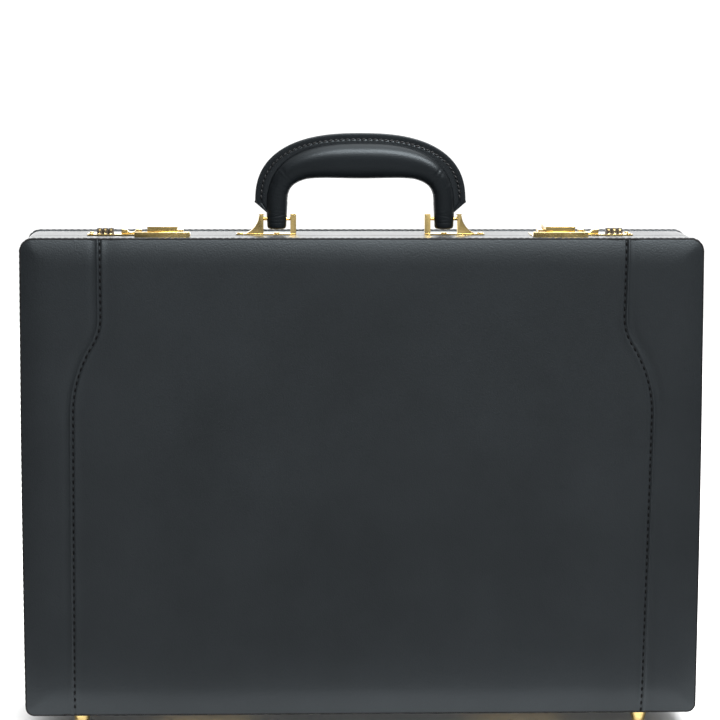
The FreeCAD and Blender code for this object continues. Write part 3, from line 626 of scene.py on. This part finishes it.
def welt_piece(shell, side):
    """Raised welt overcast with thick thread, like a rope laid round the edge."""
    low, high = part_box(shell + "_edge_welt")
    out = high.x - HALF_W
    near, far = side * WALL_Y, side * (WALL_Y - (high.y - low.y))
    middle = (near + far) / 2
    half = abs(near - far) / 2
    core = out * 0.78
    profile = [(middle + half * math.cos(a), -0.2 * MM + (core + 0.2 * MM) * max(math.sin(a), -0.4))
               for a in [math.radians(d) for d in range(0, 360, 24)]]
    ring_piece(shell + "_welt_core", profile, "edge_leather", shell, (shell + "_edge_welt",),
               step=6 * MM)
    pile = Pile()
    for spot, along, normal in even_path(ROPE_PITCH, out * 0.5):
        lean = along * math.cos(ROPE_SLANT) + Vector((0, side, 0)) * math.sin(ROPE_SLANT)
        centre = spot + Vector((0, middle, 0))
        stitch(pile, centre, lean, normal, 5.0 * MM, 0.62 * MM, 0.25 * MM)
    make_piece(shell + "_welt_rope", pile.points, pile.faces, "rope_thread", shell)


def paint_piece(shell, side):
    """Thin bead of black edge paint where the face leather meets the welt; kept near-black, it also
    stands in for painted shade in the crease there.
    """
    y = side * (WALL_Y + 0.4 * MM)
    out = 0.15 * MM
    profile = [(y + 0.6 * MM * math.cos(a), out + 0.8 * MM * math.sin(a))
               for a in [math.radians(d) for d in range(0, 360, 36)]]
    ring_piece(shell + "_painted_edge", profile, "edge_paint", shell,
               step=6 * MM)


# ---- face leather: centre panel lapped over two side panels ----
def seam_x(sign, z):
    """Distance of a seam from the middle at a height."""
    start = Z_HIGH - SEAM_BEND_TOP
    end = start - SEAM_BEND_DROP
    top_x, mid_x = SEAM_TOP[sign], SEAM_MID[sign]
    turn = 2 * math.atan((mid_x - top_x) / SEAM_BEND_DROP)
    lower = SEAM_BEND_DROP / math.sin(turn) - SEAM_UPPER_RADIUS
    join = start - SEAM_UPPER_RADIUS * math.sin(turn)
    if z >= start:
        return top_x + (SEAM_RIM[sign] - top_x) * (z - start) / SEAM_BEND_TOP
    if z >= join:
        drop = start - z
        return top_x + SEAM_UPPER_RADIUS - math.sqrt(SEAM_UPPER_RADIUS ** 2 - drop ** 2)
    if z >= end:
        return mid_x - lower + math.sqrt(lower ** 2 - (z - end) ** 2)
    return mid_x + (SEAM_LOW[sign] - mid_x) * (end - z) / (end - Z_LOW)


def seam_slant(sign, z):
    """Cosine of the seam's lean, to turn a sideways distance into a square one."""
    h = 0.5 * MM
    slope = (seam_x(sign, z + h) - seam_x(sign, z - h)) / (2 * h)
    return 1 / math.hypot(1, slope)


def edge_distance(x, z):
    """Distance inwards from the case outline."""
    radius = TOP_RADIUS if z > MIDDLE_Z else BOTTOM_RADIUS
    across = abs(x) - (HALF_W - radius)
    up = z - (Z_HIGH - radius) if z > MIDDLE_Z else (Z_LOW + radius) - z
    if across > 0 and up > 0:
        return radius - math.hypot(across, up)
    return radius - max(across, up)


def outline_half(z):
    """Half width of the case outline at a height."""
    radius = TOP_RADIUS if z > MIDDLE_Z else BOTTOM_RADIUS
    up = z - (Z_HIGH - radius) if z > MIDDLE_Z else (Z_LOW + radius) - z
    if up <= 0:
        return HALF_W
    return HALF_W - radius + math.sqrt(max(radius ** 2 - up ** 2, 0))


def face_level(x, z):
    """Height of the padded face above the wall's end, without its seams."""
    t = min(max(edge_distance(x, z), 0) / ROLL, 1)
    crown = CROWN * (1 - (x / HALF_W) ** 2) * (1 - ((z - MIDDLE_Z) / (Z_HIGH - MIDDLE_Z)) ** 2)
    drift = 0.09 * MM * math.sin(x * 31 + 1.3) * math.sin(z * 43 + 0.7) * t
    drift += 0.05 * MM * math.sin(x * 97 + z * 41) * t
    return EDGE_LEVEL + PAD * (1 - (1 - t) ** ROLL_POWER) + crown + drift


def seam_relief(x, z):
    """Groove under the stitches, ridge of the turned edge and the valley beside it."""
    sign = 1 if x > 0 else -1
    off = (abs(x) - seam_x(sign, z)) * seam_slant(sign, z) / MM
    bend = math.exp(-((z - (Z_HIGH - 88 * MM)) / (34 * MM)) ** 2)
    groove = -0.5 * math.exp(-(off / 0.75) ** 2)
    ridge = (0.55 - 0.25 * bend) * math.exp(-((off - 1.7) / 0.75) ** 2)
    inner = 0.18 * math.exp(-((off + 1.6) / 0.9) ** 2)
    valley = -(0.35 + 0.6 * bend) * math.exp(-((off - 5.0) / (2.2 + 1.2 * bend)) ** 2)
    dip = -0.35 * math.exp(-((off + 5) / 4.5) ** 2)
    return (groove + ridge + inner + valley + dip) * MM


def centre_level(x, z):
    """The centre panel, whose turned edge ends in the ridge outside the stitches."""
    return face_level(x, z) + seam_relief(x, z)


def side_level(x, z):
    """A side panel, which comes out from under the centre panel's turned edge."""
    sign = 1 if x > 0 else -1
    off = (abs(x) - seam_x(sign, z)) * seam_slant(sign, z) - LAP
    return face_level(x, z) + seam_relief(x, z) - 0.22 * MM * math.exp(-max(off, 0) / (0.8 * MM))


def graded(start, end, steps, coarse):
    """Places from start to end, close together at both ends by the given first steps."""
    left = [0.0]
    for step in steps:
        left.append(left[-1] + step)
    total = abs(end - start)
    inner = total - 2 * left[-1]
    count = max(1, round(inner / coarse))
    places = left[:-1] + [left[-1] + inner * k / count for k in range(count + 1)]
    places += [total - p for p in reversed(left[:-1])]
    return [(p / total) for p in places]


ROW_STEPS = [s * MM for s in (0.12, 0.25, 0.4, 0.6, 0.8, 1.0, 1.2, 1.5, 1.7, 1.9)]
COLUMN_STEPS = [s * MM for s in (0.15, 0.2, 0.25, 0.3, 0.35, 0.4, 0.45, 0.5, 0.6, 0.8, 1.1, 1.5,
                                 2.0)]


def face_piece(shell, side, label, span_at, level, width):
    """One panel as a closed pad: graded front grid, back grid and rim."""
    rows = [Z_LOW + (Z_HIGH - Z_LOW) * t for t in graded(Z_LOW, Z_HIGH, ROW_STEPS, 2.4 * MM)]
    columns = graded(0, width, COLUMN_STEPS, 4 * MM)
    front = []
    back = []
    for z in rows:
        a, b = span_at(z)
        for t in columns:
            x = a + (b - a) * t
            front.append((bowed(x, z), side * (WALL_Y + level(x, z)), z))
            back.append((bowed(x, z), side * (WALL_Y + 0.02 * MM), z))
    faces = slab_faces(len(rows), len(columns))
    piece = make_piece(f"{shell}_{label}_face", front + back, faces, "case_leather", shell,
                       (f"{shell}_{label}_panel",), smooth=50)


def face_pieces(shell, side):
    """Left, centre and right panels of one face and the stitches of both seams."""
    def centre_span(z):
        return (-seam_x(-1, z) - LAP / seam_slant(-1, z), seam_x(1, z) + LAP / seam_slant(1, z))

    def side_span(sign):
        def span_at(z):
            inner = seam_x(sign, z) + LAP / seam_slant(sign, z)
            return (sign * inner, sign * outline_half(z))
        return span_at

    face_piece(shell, side, "centre", centre_span, centre_level, 2 * SEAM_MID[1])
    face_piece(shell, side, "left", side_span(-1), side_level, HALF_W - SEAM_MID[1])
    face_piece(shell, side, "right", side_span(1), side_level, HALF_W - SEAM_MID[1])
    pile = Pile()
    for sign in (-1, 1):
        z = Z_HIGH - SEAM_TOP_GAP
        while z > Z_LOW + SEAM_FOOT_GAP:
            lean = seam_slant(sign, z)
            middle = z - SEAM_STITCH / 2 * lean
            x = sign * seam_x(sign, middle)
            above = Vector((bowed(sign * seam_x(sign, z), z), 0, z))
            low_z = z - SEAM_STITCH * lean
            below = Vector((bowed(sign * seam_x(sign, low_z), low_z), 0, low_z))
            spot = Vector((bowed(x, middle), side * (WALL_Y + centre_level(x, middle) + 0.08 * MM),
                           middle))
            stitch(pile, spot, below - above, Vector((0, side, 0)), SEAM_STITCH, THREAD, 0.3 * MM)
            z -= SEAM_PITCH * lean
    make_piece(shell + "_seam_stitches", pile.points, pile.faces, "black_thread", shell)


for shell_name, shell_side in SHELLS.items():
    wall_piece(shell_name, shell_side)
    binding_piece(shell_name, shell_side)
    welt_piece(shell_name, shell_side)
    paint_piece(shell_name, shell_side)
    face_pieces(shell_name, shell_side)


# ---- handle ----
LEG_X = 56.0 * MM
LEG_HALF = 6.4 * MM
LEG_DROP = 6.9 * MM
LEG_THICK = 5.6 * MM
GRIP_THICK = 9.4 * MM
GRIP_BOTTOM = 26.7 * MM
GRIP_TOP = 51.4 * MM
ARCH_FOOT = 6 * MM
BELLY_SAG = 1.7 * MM
BELLY_HALF = 36 * MM
LEG_FLARE = 0.9 * MM
FLANGE_HALF = 70.4 * MM
FLANGE_FOOT = 10.9 * MM
FLANGE_TOP = 57.1 * MM
FLANGE_POWER = 2.5
FLANGE_LAYER = 1.85 * MM
FLANGE_DEPTH = 11 * MM
FLANGE_END_IN = 7.6 * MM
FLANGE_END_DROP = 6.6 * MM
FLANGE_PITCH = 3.8 * MM


def superellipse(turn, half, rise, power):
    """Point and outward normal of an arch over the X axis; turn runs from 0 to pi."""
    c, s = math.cos(turn), math.sin(turn)
    ex = math.copysign(abs(c) ** (2 / power), c)
    ez = abs(s) ** (2 / power)
    normal = Vector((math.copysign(abs(ex) ** (power - 1), ex) / half, 0, ez ** (power - 1) / rise))
    return Vector((half * ex, 0, rise * ez)), normal.normalized()


def even_arch(half, rise, power, step):
    """Evenly spaced points and normals along a superellipse arch."""
    fine = [superellipse(math.pi * k / 4000, half, rise, power) for k in range(4001)]
    lengths = [0.0]
    for (a, _), (b, _) in zip(fine, fine[1:]):
        lengths.append(lengths[-1] + (b - a).length)
    count = max(2, round(lengths[-1] / step))
    targets = np.linspace(0, lengths[-1], count + 1)
    picks = np.clip(np.searchsorted(lengths, targets), 0, 4000)
    return [fine[i] for i in picks]


def crease_marks():
    """Heights of the fine creases across the legs."""
    marks = []
    z = -5.2 * MM
    while z < 30 * MM:
        marks.append((z, random.uniform(0.10, 0.26) * MM, random.uniform(-0.25, 0.25)))
        z += random.uniform(1.5, 2.7) * MM
    return marks


def grip_section(middle, across, half, thick, creases, height):
    """One rounded section of the grip with its creases pressed in."""
    section = []
    count = 40
    for k in range(count):
        a = 2 * math.pi * k / count
        c, s = math.cos(a), math.sin(a)
        u = math.copysign(abs(c) ** 0.88, c)
        v = math.copysign(abs(s) ** 0.88, s)
        press = 0
        for mark, deep, tilt in creases:
            off = (height - mark - tilt * u * half) / (0.32 * MM)
            if abs(off) < 4:
                press += deep * math.exp(-off * off) * (0.35 + 0.65 * abs(s))
        section.append(middle + across * (u * (half - press)) + Vector((0, v * (thick - press), 0)))
    return section


def grip_piece():
    """The stuffed leather grip: creased legs that swell into a thick arch."""
    creases = crease_marks()
    stations = []
    leg = LEG_DROP + ARCH_FOOT
    steps = 30
    for k in range(steps):
        z = -LEG_DROP + leg * k / steps
        stations.append((Vector((LEG_X, 0, z)), Vector((1, 0, 0)), LEG_HALF, 0.0))
    outer = even_arch(LEG_X + LEG_HALF, GRIP_TOP - ARCH_FOOT, 2.6, 0.9 * MM)
    count = len(outer)
    inner = even_arch(LEG_X - LEG_HALF, GRIP_BOTTOM + BELLY_SAG - ARCH_FOOT, 4.0, 0.1 * MM)
    for k, (high, _) in enumerate(outer):
        low = inner[round(k * (len(inner) - 1) / (count - 1))][0].copy()
        low.z -= BELLY_SAG * max(0, 1 - (low.x / BELLY_HALF) ** 2)
        full = min(1, max(0, high.z / (GRIP_TOP - ARCH_FOOT))) ** 2
        across = high - low
        middle = (high + low) / 2 + Vector((0, 0, ARCH_FOOT))
        stations.append((middle, across.normalized(), across.length / 2, full))
    for k in range(steps - 1, -1, -1):
        z = -LEG_DROP + leg * k / steps
        stations.append((Vector((-LEG_X, 0, z)), Vector((-1, 0, 0)), LEG_HALF, 0.0))
    sections = []
    for spot, across, half, full in stations:
        rise = min(max((spot.z + LEG_DROP) / (18 * MM), 0), 1)
        half += LEG_FLARE * rise * (1 - full) - 0.1 * MM
        thick = LEG_THICK + (GRIP_THICK - LEG_THICK) * full ** 0.8
        foot = (spot.z + LEG_DROP) / (2.2 * MM)
        if foot < 1:
            half -= 2.0 * MM * (1 - math.sqrt(1 - (1 - foot) ** 2))
            thick -= 2.0 * MM * (1 - math.sqrt(1 - (1 - foot) ** 2))
        sections.append([PIN + p for p in grip_section(spot, across, half, thick, creases, spot.z)])
    points, faces = tube_piece(sections)
    piece = make_piece("handle_grip_leather", points, faces, "handle_leather", "handle",
                       ("handle_grip", "handle_core"), smooth=70)


def flange_path(step):
    """Outer edge of the flange from the right foot to the left one."""
    rise = FLANGE_TOP - FLANGE_FOOT
    path = even_arch(FLANGE_HALF, rise, FLANGE_POWER, step)
    return [(spot + Vector((0, 0, FLANGE_FOOT)), normal) for spot, normal in path]


def flange_ends(sign):
    """The slanted foot of the flange, from its outer corner down to the leg."""
    count = 8
    ends = []
    for k in range(1, count + 1):
        t = k / count
        x = FLANGE_HALF - FLANGE_END_IN * t
        ends.append((Vector((sign * x, 0, FLANGE_FOOT - FLANGE_END_DROP * t)), Vector((sign, 0, 0)),
                     FLANGE_DEPTH - FLANGE_END_IN * t))
    return ends


def flange_piece():
    """Two leather layers sewn together round the outside of the grip."""
    path = flange_path(0.8 * MM)
    half = FLANGE_LAYER
    edge = 0.55 * MM
    profile = []
    for side in (1, -1):
        order = ((FLANGE_DEPTH, half), (5.4 * MM, half), (4.7 * MM, half - 0.12 * MM),
                 (4.0 * MM, half - 0.45 * MM), (3.3 * MM, half - 0.12 * MM), (2.6 * MM, half),
                 (edge, half), (edge * 0.3, half - edge * 0.3), (0, half - edge),
                 (0, edge * 0.75), (edge * 0.35, edge * 0.3), (edge * 1.1, 0.0))
        part = [(r, side * y) for r, y in order]
        profile += part if side > 0 else list(reversed(part))[1:]
    whole = [(spot, normal, FLANGE_DEPTH) for spot, normal in path]
    whole = flange_ends(1)[::-1] + whole + flange_ends(-1)
    sections = []
    for spot, normal, deep in whole:
        sections.append([PIN + spot - normal * (r * deep / FLANGE_DEPTH) + Vector((0, y, 0))
                         for r, y in profile])
    points, faces = tube_piece(sections)
    make_piece("handle_flange_leather", points, faces, "handle_leather", "handle",
               ("handle_flange_front", "handle_flange_back"), smooth=35)
    pile = Pile()
    for spot, normal in flange_path(FLANGE_PITCH)[1:-1]:
        along = Vector((-normal.z, 0, normal.x))
        inner = spot - normal * 4.0 * MM
        for side in (-1, 1):
            lean = along * math.cos(0.28) + normal * (side * math.sin(0.28))
            centre = PIN + inner + Vector((0, side * (half - 0.05 * MM), 0))
            stitch(pile, centre, lean, Vector((0, side, 0)), 3.2 * MM, 0.58 * MM, 0.3 * MM)
    make_piece("handle_stitches", pile.points, pile.faces, "handle_thread", "handle")
    paint = Pile()
    rim = []
    for spot, normal, deep in whole:
        centre = PIN + spot - normal * 0.35 * MM
        rim.append([centre + normal * (0.5 * MM * math.cos(a))
                    + Vector((0, (half - 0.5 * MM) * math.sin(a), 0))
                    for a in [math.radians(d) for d in range(0, 360, 30)]])
    for sign in (-1, 1):
        knot = PIN + Vector((sign * (FLANGE_HALF - 0.5 * MM), 0, FLANGE_FOOT + 0.6 * MM))
        stitch(paint, knot, Vector((0, 1, 0)), Vector((sign, 0, 0)), 4.6 * MM, 1.0 * MM)
    paint.add(*tube_piece(rim))
    make_piece("handle_painted_edge", paint.points, paint.faces, "edge_paint", "handle")


grip_piece()
flange_piece()


# ---- brass hardware ----
def cap_disc(pile, centre, axis, radius, thick, dome=0.0, sides=24):
    """A round head with a rounded rim."""
    axis = axis.normalized()
    side = axis.orthogonal().normalized()
    other = axis.cross(side)
    rings = ((0.0, 0.92), (0.12, 1.0), (0.75, 1.0), (0.93, 0.9), (1.0, 0.72), (1.0 + dome, 0.4))
    sections = []
    for rise, size in rings:
        middle = centre + axis * (thick * rise)
        turns = [2 * math.pi * k / sides for k in range(sides)]
        sections.append([middle + (side * math.cos(a) + other * math.sin(a)) * radius * size
                         for a in turns])
    pile.add(*tube_piece(sections))


def hardware():
    """Every brass part eased along its edges, with the small parts on it."""
    eased_copy("handle_brackets", 0.35 * MM, "brass", 3)
    eased_copy("handle_bracket_rivets", 0.15 * MM, "brass")
    eased_copy("handle_pins", 0.2 * MM, "brass")
    eased_copy("lock_strikes", 0.22 * MM, "brass")
    eased_copy("strike_rivets", 0.12 * MM, "brass")
    eased_copy("lock_rivets", 0.12 * MM, "brass")
    eased_copy("hasp_pins", 0.1 * MM, "steel")
    for side in SIDES:
        eased_copy(side + "_lock_plate", 0.2 * MM, "brass")
        eased_copy(side + "_hasp", 0.4 * MM, "brass", 3)
        eased_copy(side + "_button", 0.3 * MM, "brass", 3)
        for index in (1, 2, 3):
            eased_copy(f"{side}_dial_{index}", 0.12 * MM, "dial_metal")


POST_XS = (45.0 * MM, 66.2 * MM)
POST_CAP = (2.0 * MM, 0.55 * MM)
PIN_HEAD_X = 67.4 * MM
PIN_HEAD = (1.7 * MM, 0.7 * MM)


def post_caps():
    """Thin rolled caps on the bracket posts and turned pin heads."""
    post_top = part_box("handle_brackets")[1].z
    pile = Pile()
    for sign in (-1, 1):
        for x in POST_XS:
            place = Vector((sign * x, PIN.y, post_top - 0.1 * MM))
            cap_disc(pile, place, Vector((0, 0, 1)), *POST_CAP, 0.1)
        cap_disc(pile, Vector((sign * PIN_HEAD_X, PIN.y, PIN.z)), Vector((sign, 0, 0)), *PIN_HEAD,
                 0.15)
    make_piece("handle_post_caps", pile.points, pile.faces, "brass", "base", smooth=50)


DIGIT_SIZE = 3.1 * MM
DIGIT_RAISE = 0.08 * MM


def digit_meshes():
    """Outlines of the ten digits as thin solids in their own plane."""
    digits = []
    for value in range(10):
        curve = bpy.data.curves.new("digit", "FONT")
        curve.body = str(value)
        curve.size = DIGIT_SIZE
        curve.align_x = "CENTER"
        curve.align_y = "CENTER"
        curve.extrude = DIGIT_RAISE
        curve.resolution_u = 2
        holder = bpy.data.objects.new("digit", curve)
        mesh = bpy.data.meshes.new_from_object(holder)
        digits.append(([v.co.copy() for v in mesh.vertices],
                       [tuple(p.vertices) for p in mesh.polygons]))
        bpy.data.objects.remove(holder)
    return digits


def dial_numbers():
    """Raised brass digits round each number wheel."""
    digits = digit_meshes()
    for side in SIDES:
        for index in (1, 2, 3):
            node = f"{side}_dial_{index}"
            low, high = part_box(node)
            centre = (low + high) / 2
            radius = (high.z - low.z) / 2
            pile = Pile()
            for value, (points, faces) in enumerate(digits):
                turn = 2 * math.pi * value / 10
                up = Vector((0, math.sin(turn), math.cos(turn)))
                along = Vector((0, math.cos(turn), -math.sin(turn)))
                placed = [centre + up * (radius + 0.02 * MM + p.z) + Vector((1, 0, 0)) * p.x
                          + along * p.y for p in points]
                pile.add(placed, faces)
            body = body_of(frame["nodes"][node])[0]
            make_piece(node + "_numbers", pile.points, pile.faces, "brass", body,
                       smooth=30)


hardware()
post_caps()
dial_numbers()


# ---- inside, feet, hinges and stays ----
def carried_over():
    """Feet, hinges and stays get eased edges; every CAD node that still shows gets its finish."""
    for node in ("base_feet", "lid_feet", "base_hinge_leaves", "lid_hinge_leaves",
                 "base_stay_pivots", "lid_stay_pivots"):
        eased_copy(node, 0.2 * MM, "brass")
    for side in SIDES:
        eased_copy(side + "_base_stay_arm", 0.2 * MM, "brass")
        eased_copy(side + "_lid_stay_arm", 0.2 * MM, "brass")
    for entry in frame["record"]["subparts"]:
        node = frame["nodes"][entry["node"]]
        if not node.hide_render:
            dress(node, entry["material_slot"])


POCKET_THICK = 1.4 * MM
POCKET_RIPPLE = 0.35 * MM
POCKET_HEM = 0.5 * MM
POCKET_HEM_WIDTH = 2.2 * MM
POCKET_SAG = 2.2 * MM
POCKET_INSET = 3 * MM
POCKET_PITCH = 4 * MM


def pocket_sheet(node, low, high, front, bulge):
    """A soft leather pocket wall: bulging front with a rolled hem and a sewn border."""
    width, height = high.x - low.x, high.z - low.z
    columns, rows = 90, 46
    points = []
    for layer in (0, 1):
        for i in range(rows + 1):
            for j in range(columns + 1):
                u, v = j / columns, i / rows
                swell = (4 * u * (1 - u)) ** 0.6 * (1 - (1 - v) ** 2.2) ** 0.7
                ripple = POCKET_RIPPLE * math.sin(u * 23 + 2 * v) * v * (1 - v) * 2
                y = front + bulge * swell + ripple - (0 if layer == 0 else POCKET_THICK)
                hem = POCKET_HEM * math.exp(-((1 - v) * height / POCKET_HEM_WIDTH) ** 2)
                y += hem if layer == 0 else 0
                sag = POCKET_SAG * 4 * u * (1 - u) * v ** 3
                points.append((low.x + width * u, y, low.z + height * v - sag))
    faces = slab_faces(rows + 1, columns + 1)
    make_piece(node + "_leather", points, faces, "pocket_leather", "lid", (node,), smooth=60)


def pocket_stitches(node, low, high, front):
    """Contrast stitches round the sewn sides of a pocket."""
    pile = Pile()
    left, right, foot = low.x + POCKET_INSET, high.x - POCKET_INSET, low.z + POCKET_INSET
    corners = [Vector(spot) for spot in ((left, 0, high.z), (left, 0, foot), (right, 0, foot),
                                         (right, 0, high.z))]
    for start, end in zip(corners, corners[1:]):
        count = int((end - start).length / POCKET_PITCH)
        for k in range(count):
            centre = start.lerp(end, (k + 0.5) / count)
            centre.y = front + 0.25 * MM
            stitch(pile, centre, end - start, Vector((0, 1, 0)), 2.6 * MM, 0.35 * MM, 0.3 * MM)
    make_piece(node + "_stitches", pile.points, pile.faces, "tan_thread", "lid")


def pockets():
    """File pocket and card pocket on the lid lining."""
    low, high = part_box("lid_file_pocket")
    front = high.y - 1.5 * MM
    pocket_sheet("lid_file_pocket", low, high, front, 1.4 * MM)
    gusset(low, high, front)
    pocket_stitches("lid_file_pocket", low, high, front)
    low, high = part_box("lid_card_pocket")
    pocket_sheet("lid_card_pocket", low, high, high.y + 0.6 * MM, 0.6 * MM)
    pocket_stitches("lid_card_pocket", low, high, high.y + 0.55 * MM)


def gusset(low, high, front):
    """Folded gusset that joins the pocket's front to the lining at its sides and foot."""
    pile = Pile()
    back = low.y + 0.05 * MM
    left, right, foot = low.x + MM, high.x - MM, low.z + MM
    path = [Vector((left, 0, high.z)), Vector((left, 0, foot)),
            Vector((right, 0, foot)), Vector((right, 0, high.z))]
    inward = [Vector((1, 0, 0)), Vector((1, 0, 1)), Vector((-1, 0, 1)), Vector((-1, 0, 0))]
    fold = ((0.0, 0.0), (0.25, 1.2), (0.5, 1.9), (0.75, 1.2), (1.0, 0.0))
    sections = []
    for spot, side in zip(path, inward):
        section = []
        for layer in (0.0, 0.8):
            order = fold if layer == 0 else tuple(reversed(fold))
            for t, dip in order:
                y = back + (front - back) * t
                section.append(spot + side * ((dip + layer) * MM) + Vector((0, y, 0)))
        sections.append(section)
    pile.add(*tube_piece(sections))
    make_piece("lid_file_pocket_gusset", pile.points, pile.faces, "pocket_leather", "lid",
               smooth=60)


pockets()
carried_over()


# ---- stage, light and camera ----
def flat_sheet(name, half, tall):
    """A level rectangle about its own middle."""
    mesh = bpy.data.meshes.new(name)
    corners = [(-half, -tall, 0), (half, -tall, 0), (half, tall, 0), (-half, tall, 0)]
    mesh.from_pydata(corners, [], [(0, 1, 2, 3)])
    return new_object(name, mesh)


FLOOR_HALF = 6


def floor():
    """A flat pale floor."""
    piece = flat_sheet("floor", FLOOR_HALF, FLOOR_HALF)
    material, shader, add, link = new_material("pale_floor")
    place = coordinates(add)
    mottle = noise(add, link, place, Scale=3.0, Detail=3.0)
    link(ramp(add, link, mottle.outputs["Fac"], ((0.3, (0.86, 0.86, 0.86)),
                                                 (0.7, (0.89, 0.89, 0.89)))),
         shader.inputs["Base Color"])
    shader.inputs["Roughness"].default_value = 0.8
    piece.data.materials.append(material)


def area_light(name, place, target, size, power):
    """A soft rectangular studio light aimed at a point."""
    data = bpy.data.lights.new(name, "AREA")
    data.shape = "RECTANGLE"
    data.size, data.size_y = size
    data.energy = power
    lamp = new_object(name, data)
    lamp.location = place
    lamp.rotation_euler = (Vector(target) - Vector(place)).to_track_quat("-Z", "Y").to_euler()


def card(name, place, size, turn, tone):
    """A grey card that the camera doesn't see; the leather reflects it instead of the world."""
    piece = flat_sheet(name, size[0] / 2, size[1] / 2)
    piece.location = place
    piece.rotation_euler = [math.radians(angle) for angle in turn]
    piece.visible_camera = False
    piece.visible_diffuse = False
    piece.visible_shadow = False
    piece.data.materials.append(card_material(tone))


def card_material(tone):
    """Matt grey paint with faint roller marks."""
    material, shader, add, link = new_material("card_paint")
    marks = noise(add, link, coordinates(add), Scale=6.0, Detail=3.0)
    link(ramp(add, link, marks.outputs["Fac"], ((0.3, (tone, tone, tone)),
                                                (0.7, (tone * 1.15, tone * 1.15, tone * 1.15)))),
         shader.inputs["Base Color"])
    shader.inputs["Roughness"].default_value = 0.9
    return material


def world(strength):
    """Even white surroundings."""
    scene_world = bpy.data.worlds.new("studio")
    bpy.context.scene.world = scene_world
    scene_world.use_nodes = True
    background = scene_world.node_tree.nodes["Background"]
    background.inputs["Color"].default_value = (1, 1, 1, 1)
    background.inputs["Strength"].default_value = strength


LENS = 155.4
CAMERA_PLACE = (-0.0844, -2.075, 0.4695)
CAMERA_TURN = (math.pi / 2 - 0.1088, -0.0026, -0.0403)


def camera():
    """The camera that sees the case from the front and a little above."""
    data = bpy.data.cameras.new("camera")
    data.sensor_width = 36
    data.lens = LENS
    view = new_object("camera", data)
    view.location = CAMERA_PLACE
    view.rotation_euler = CAMERA_TURN
    bpy.context.scene.camera = view


floor()
world(1.2)
card("front_card", (-0.4, -3.3, 1.0), (5.0, 3.6), (90, 0, 0), 0.15)
card("floor_card", (-0.3, -1.63, 0.01), (4.0, 3.06), (0, 0, 0), 0.15)
card("left_card", (-0.8, -0.9, 0.5), (2.2, 1.4), (90, 0, 90), 0.015)
card("right_card", (0.95, -1.0, 0.5), (2.2, 1.4), (90, 0, 90), 0.015)
area_light("overhead", (0.15, -0.1, 1.7), (0.05, 0, 0.2), (1.6, 0.9), 14)
area_light("front_top", (0.65, -1.35, 1.75), (0.1, 0, 0.3), (2.0, 0.6), 100)
area_light("behind", (0, 2.6, 0.9), (0, 0, 0.3), (3.0, 1.2), 28)
camera()
bpy.context.scene.view_settings.view_transform = "Standard"
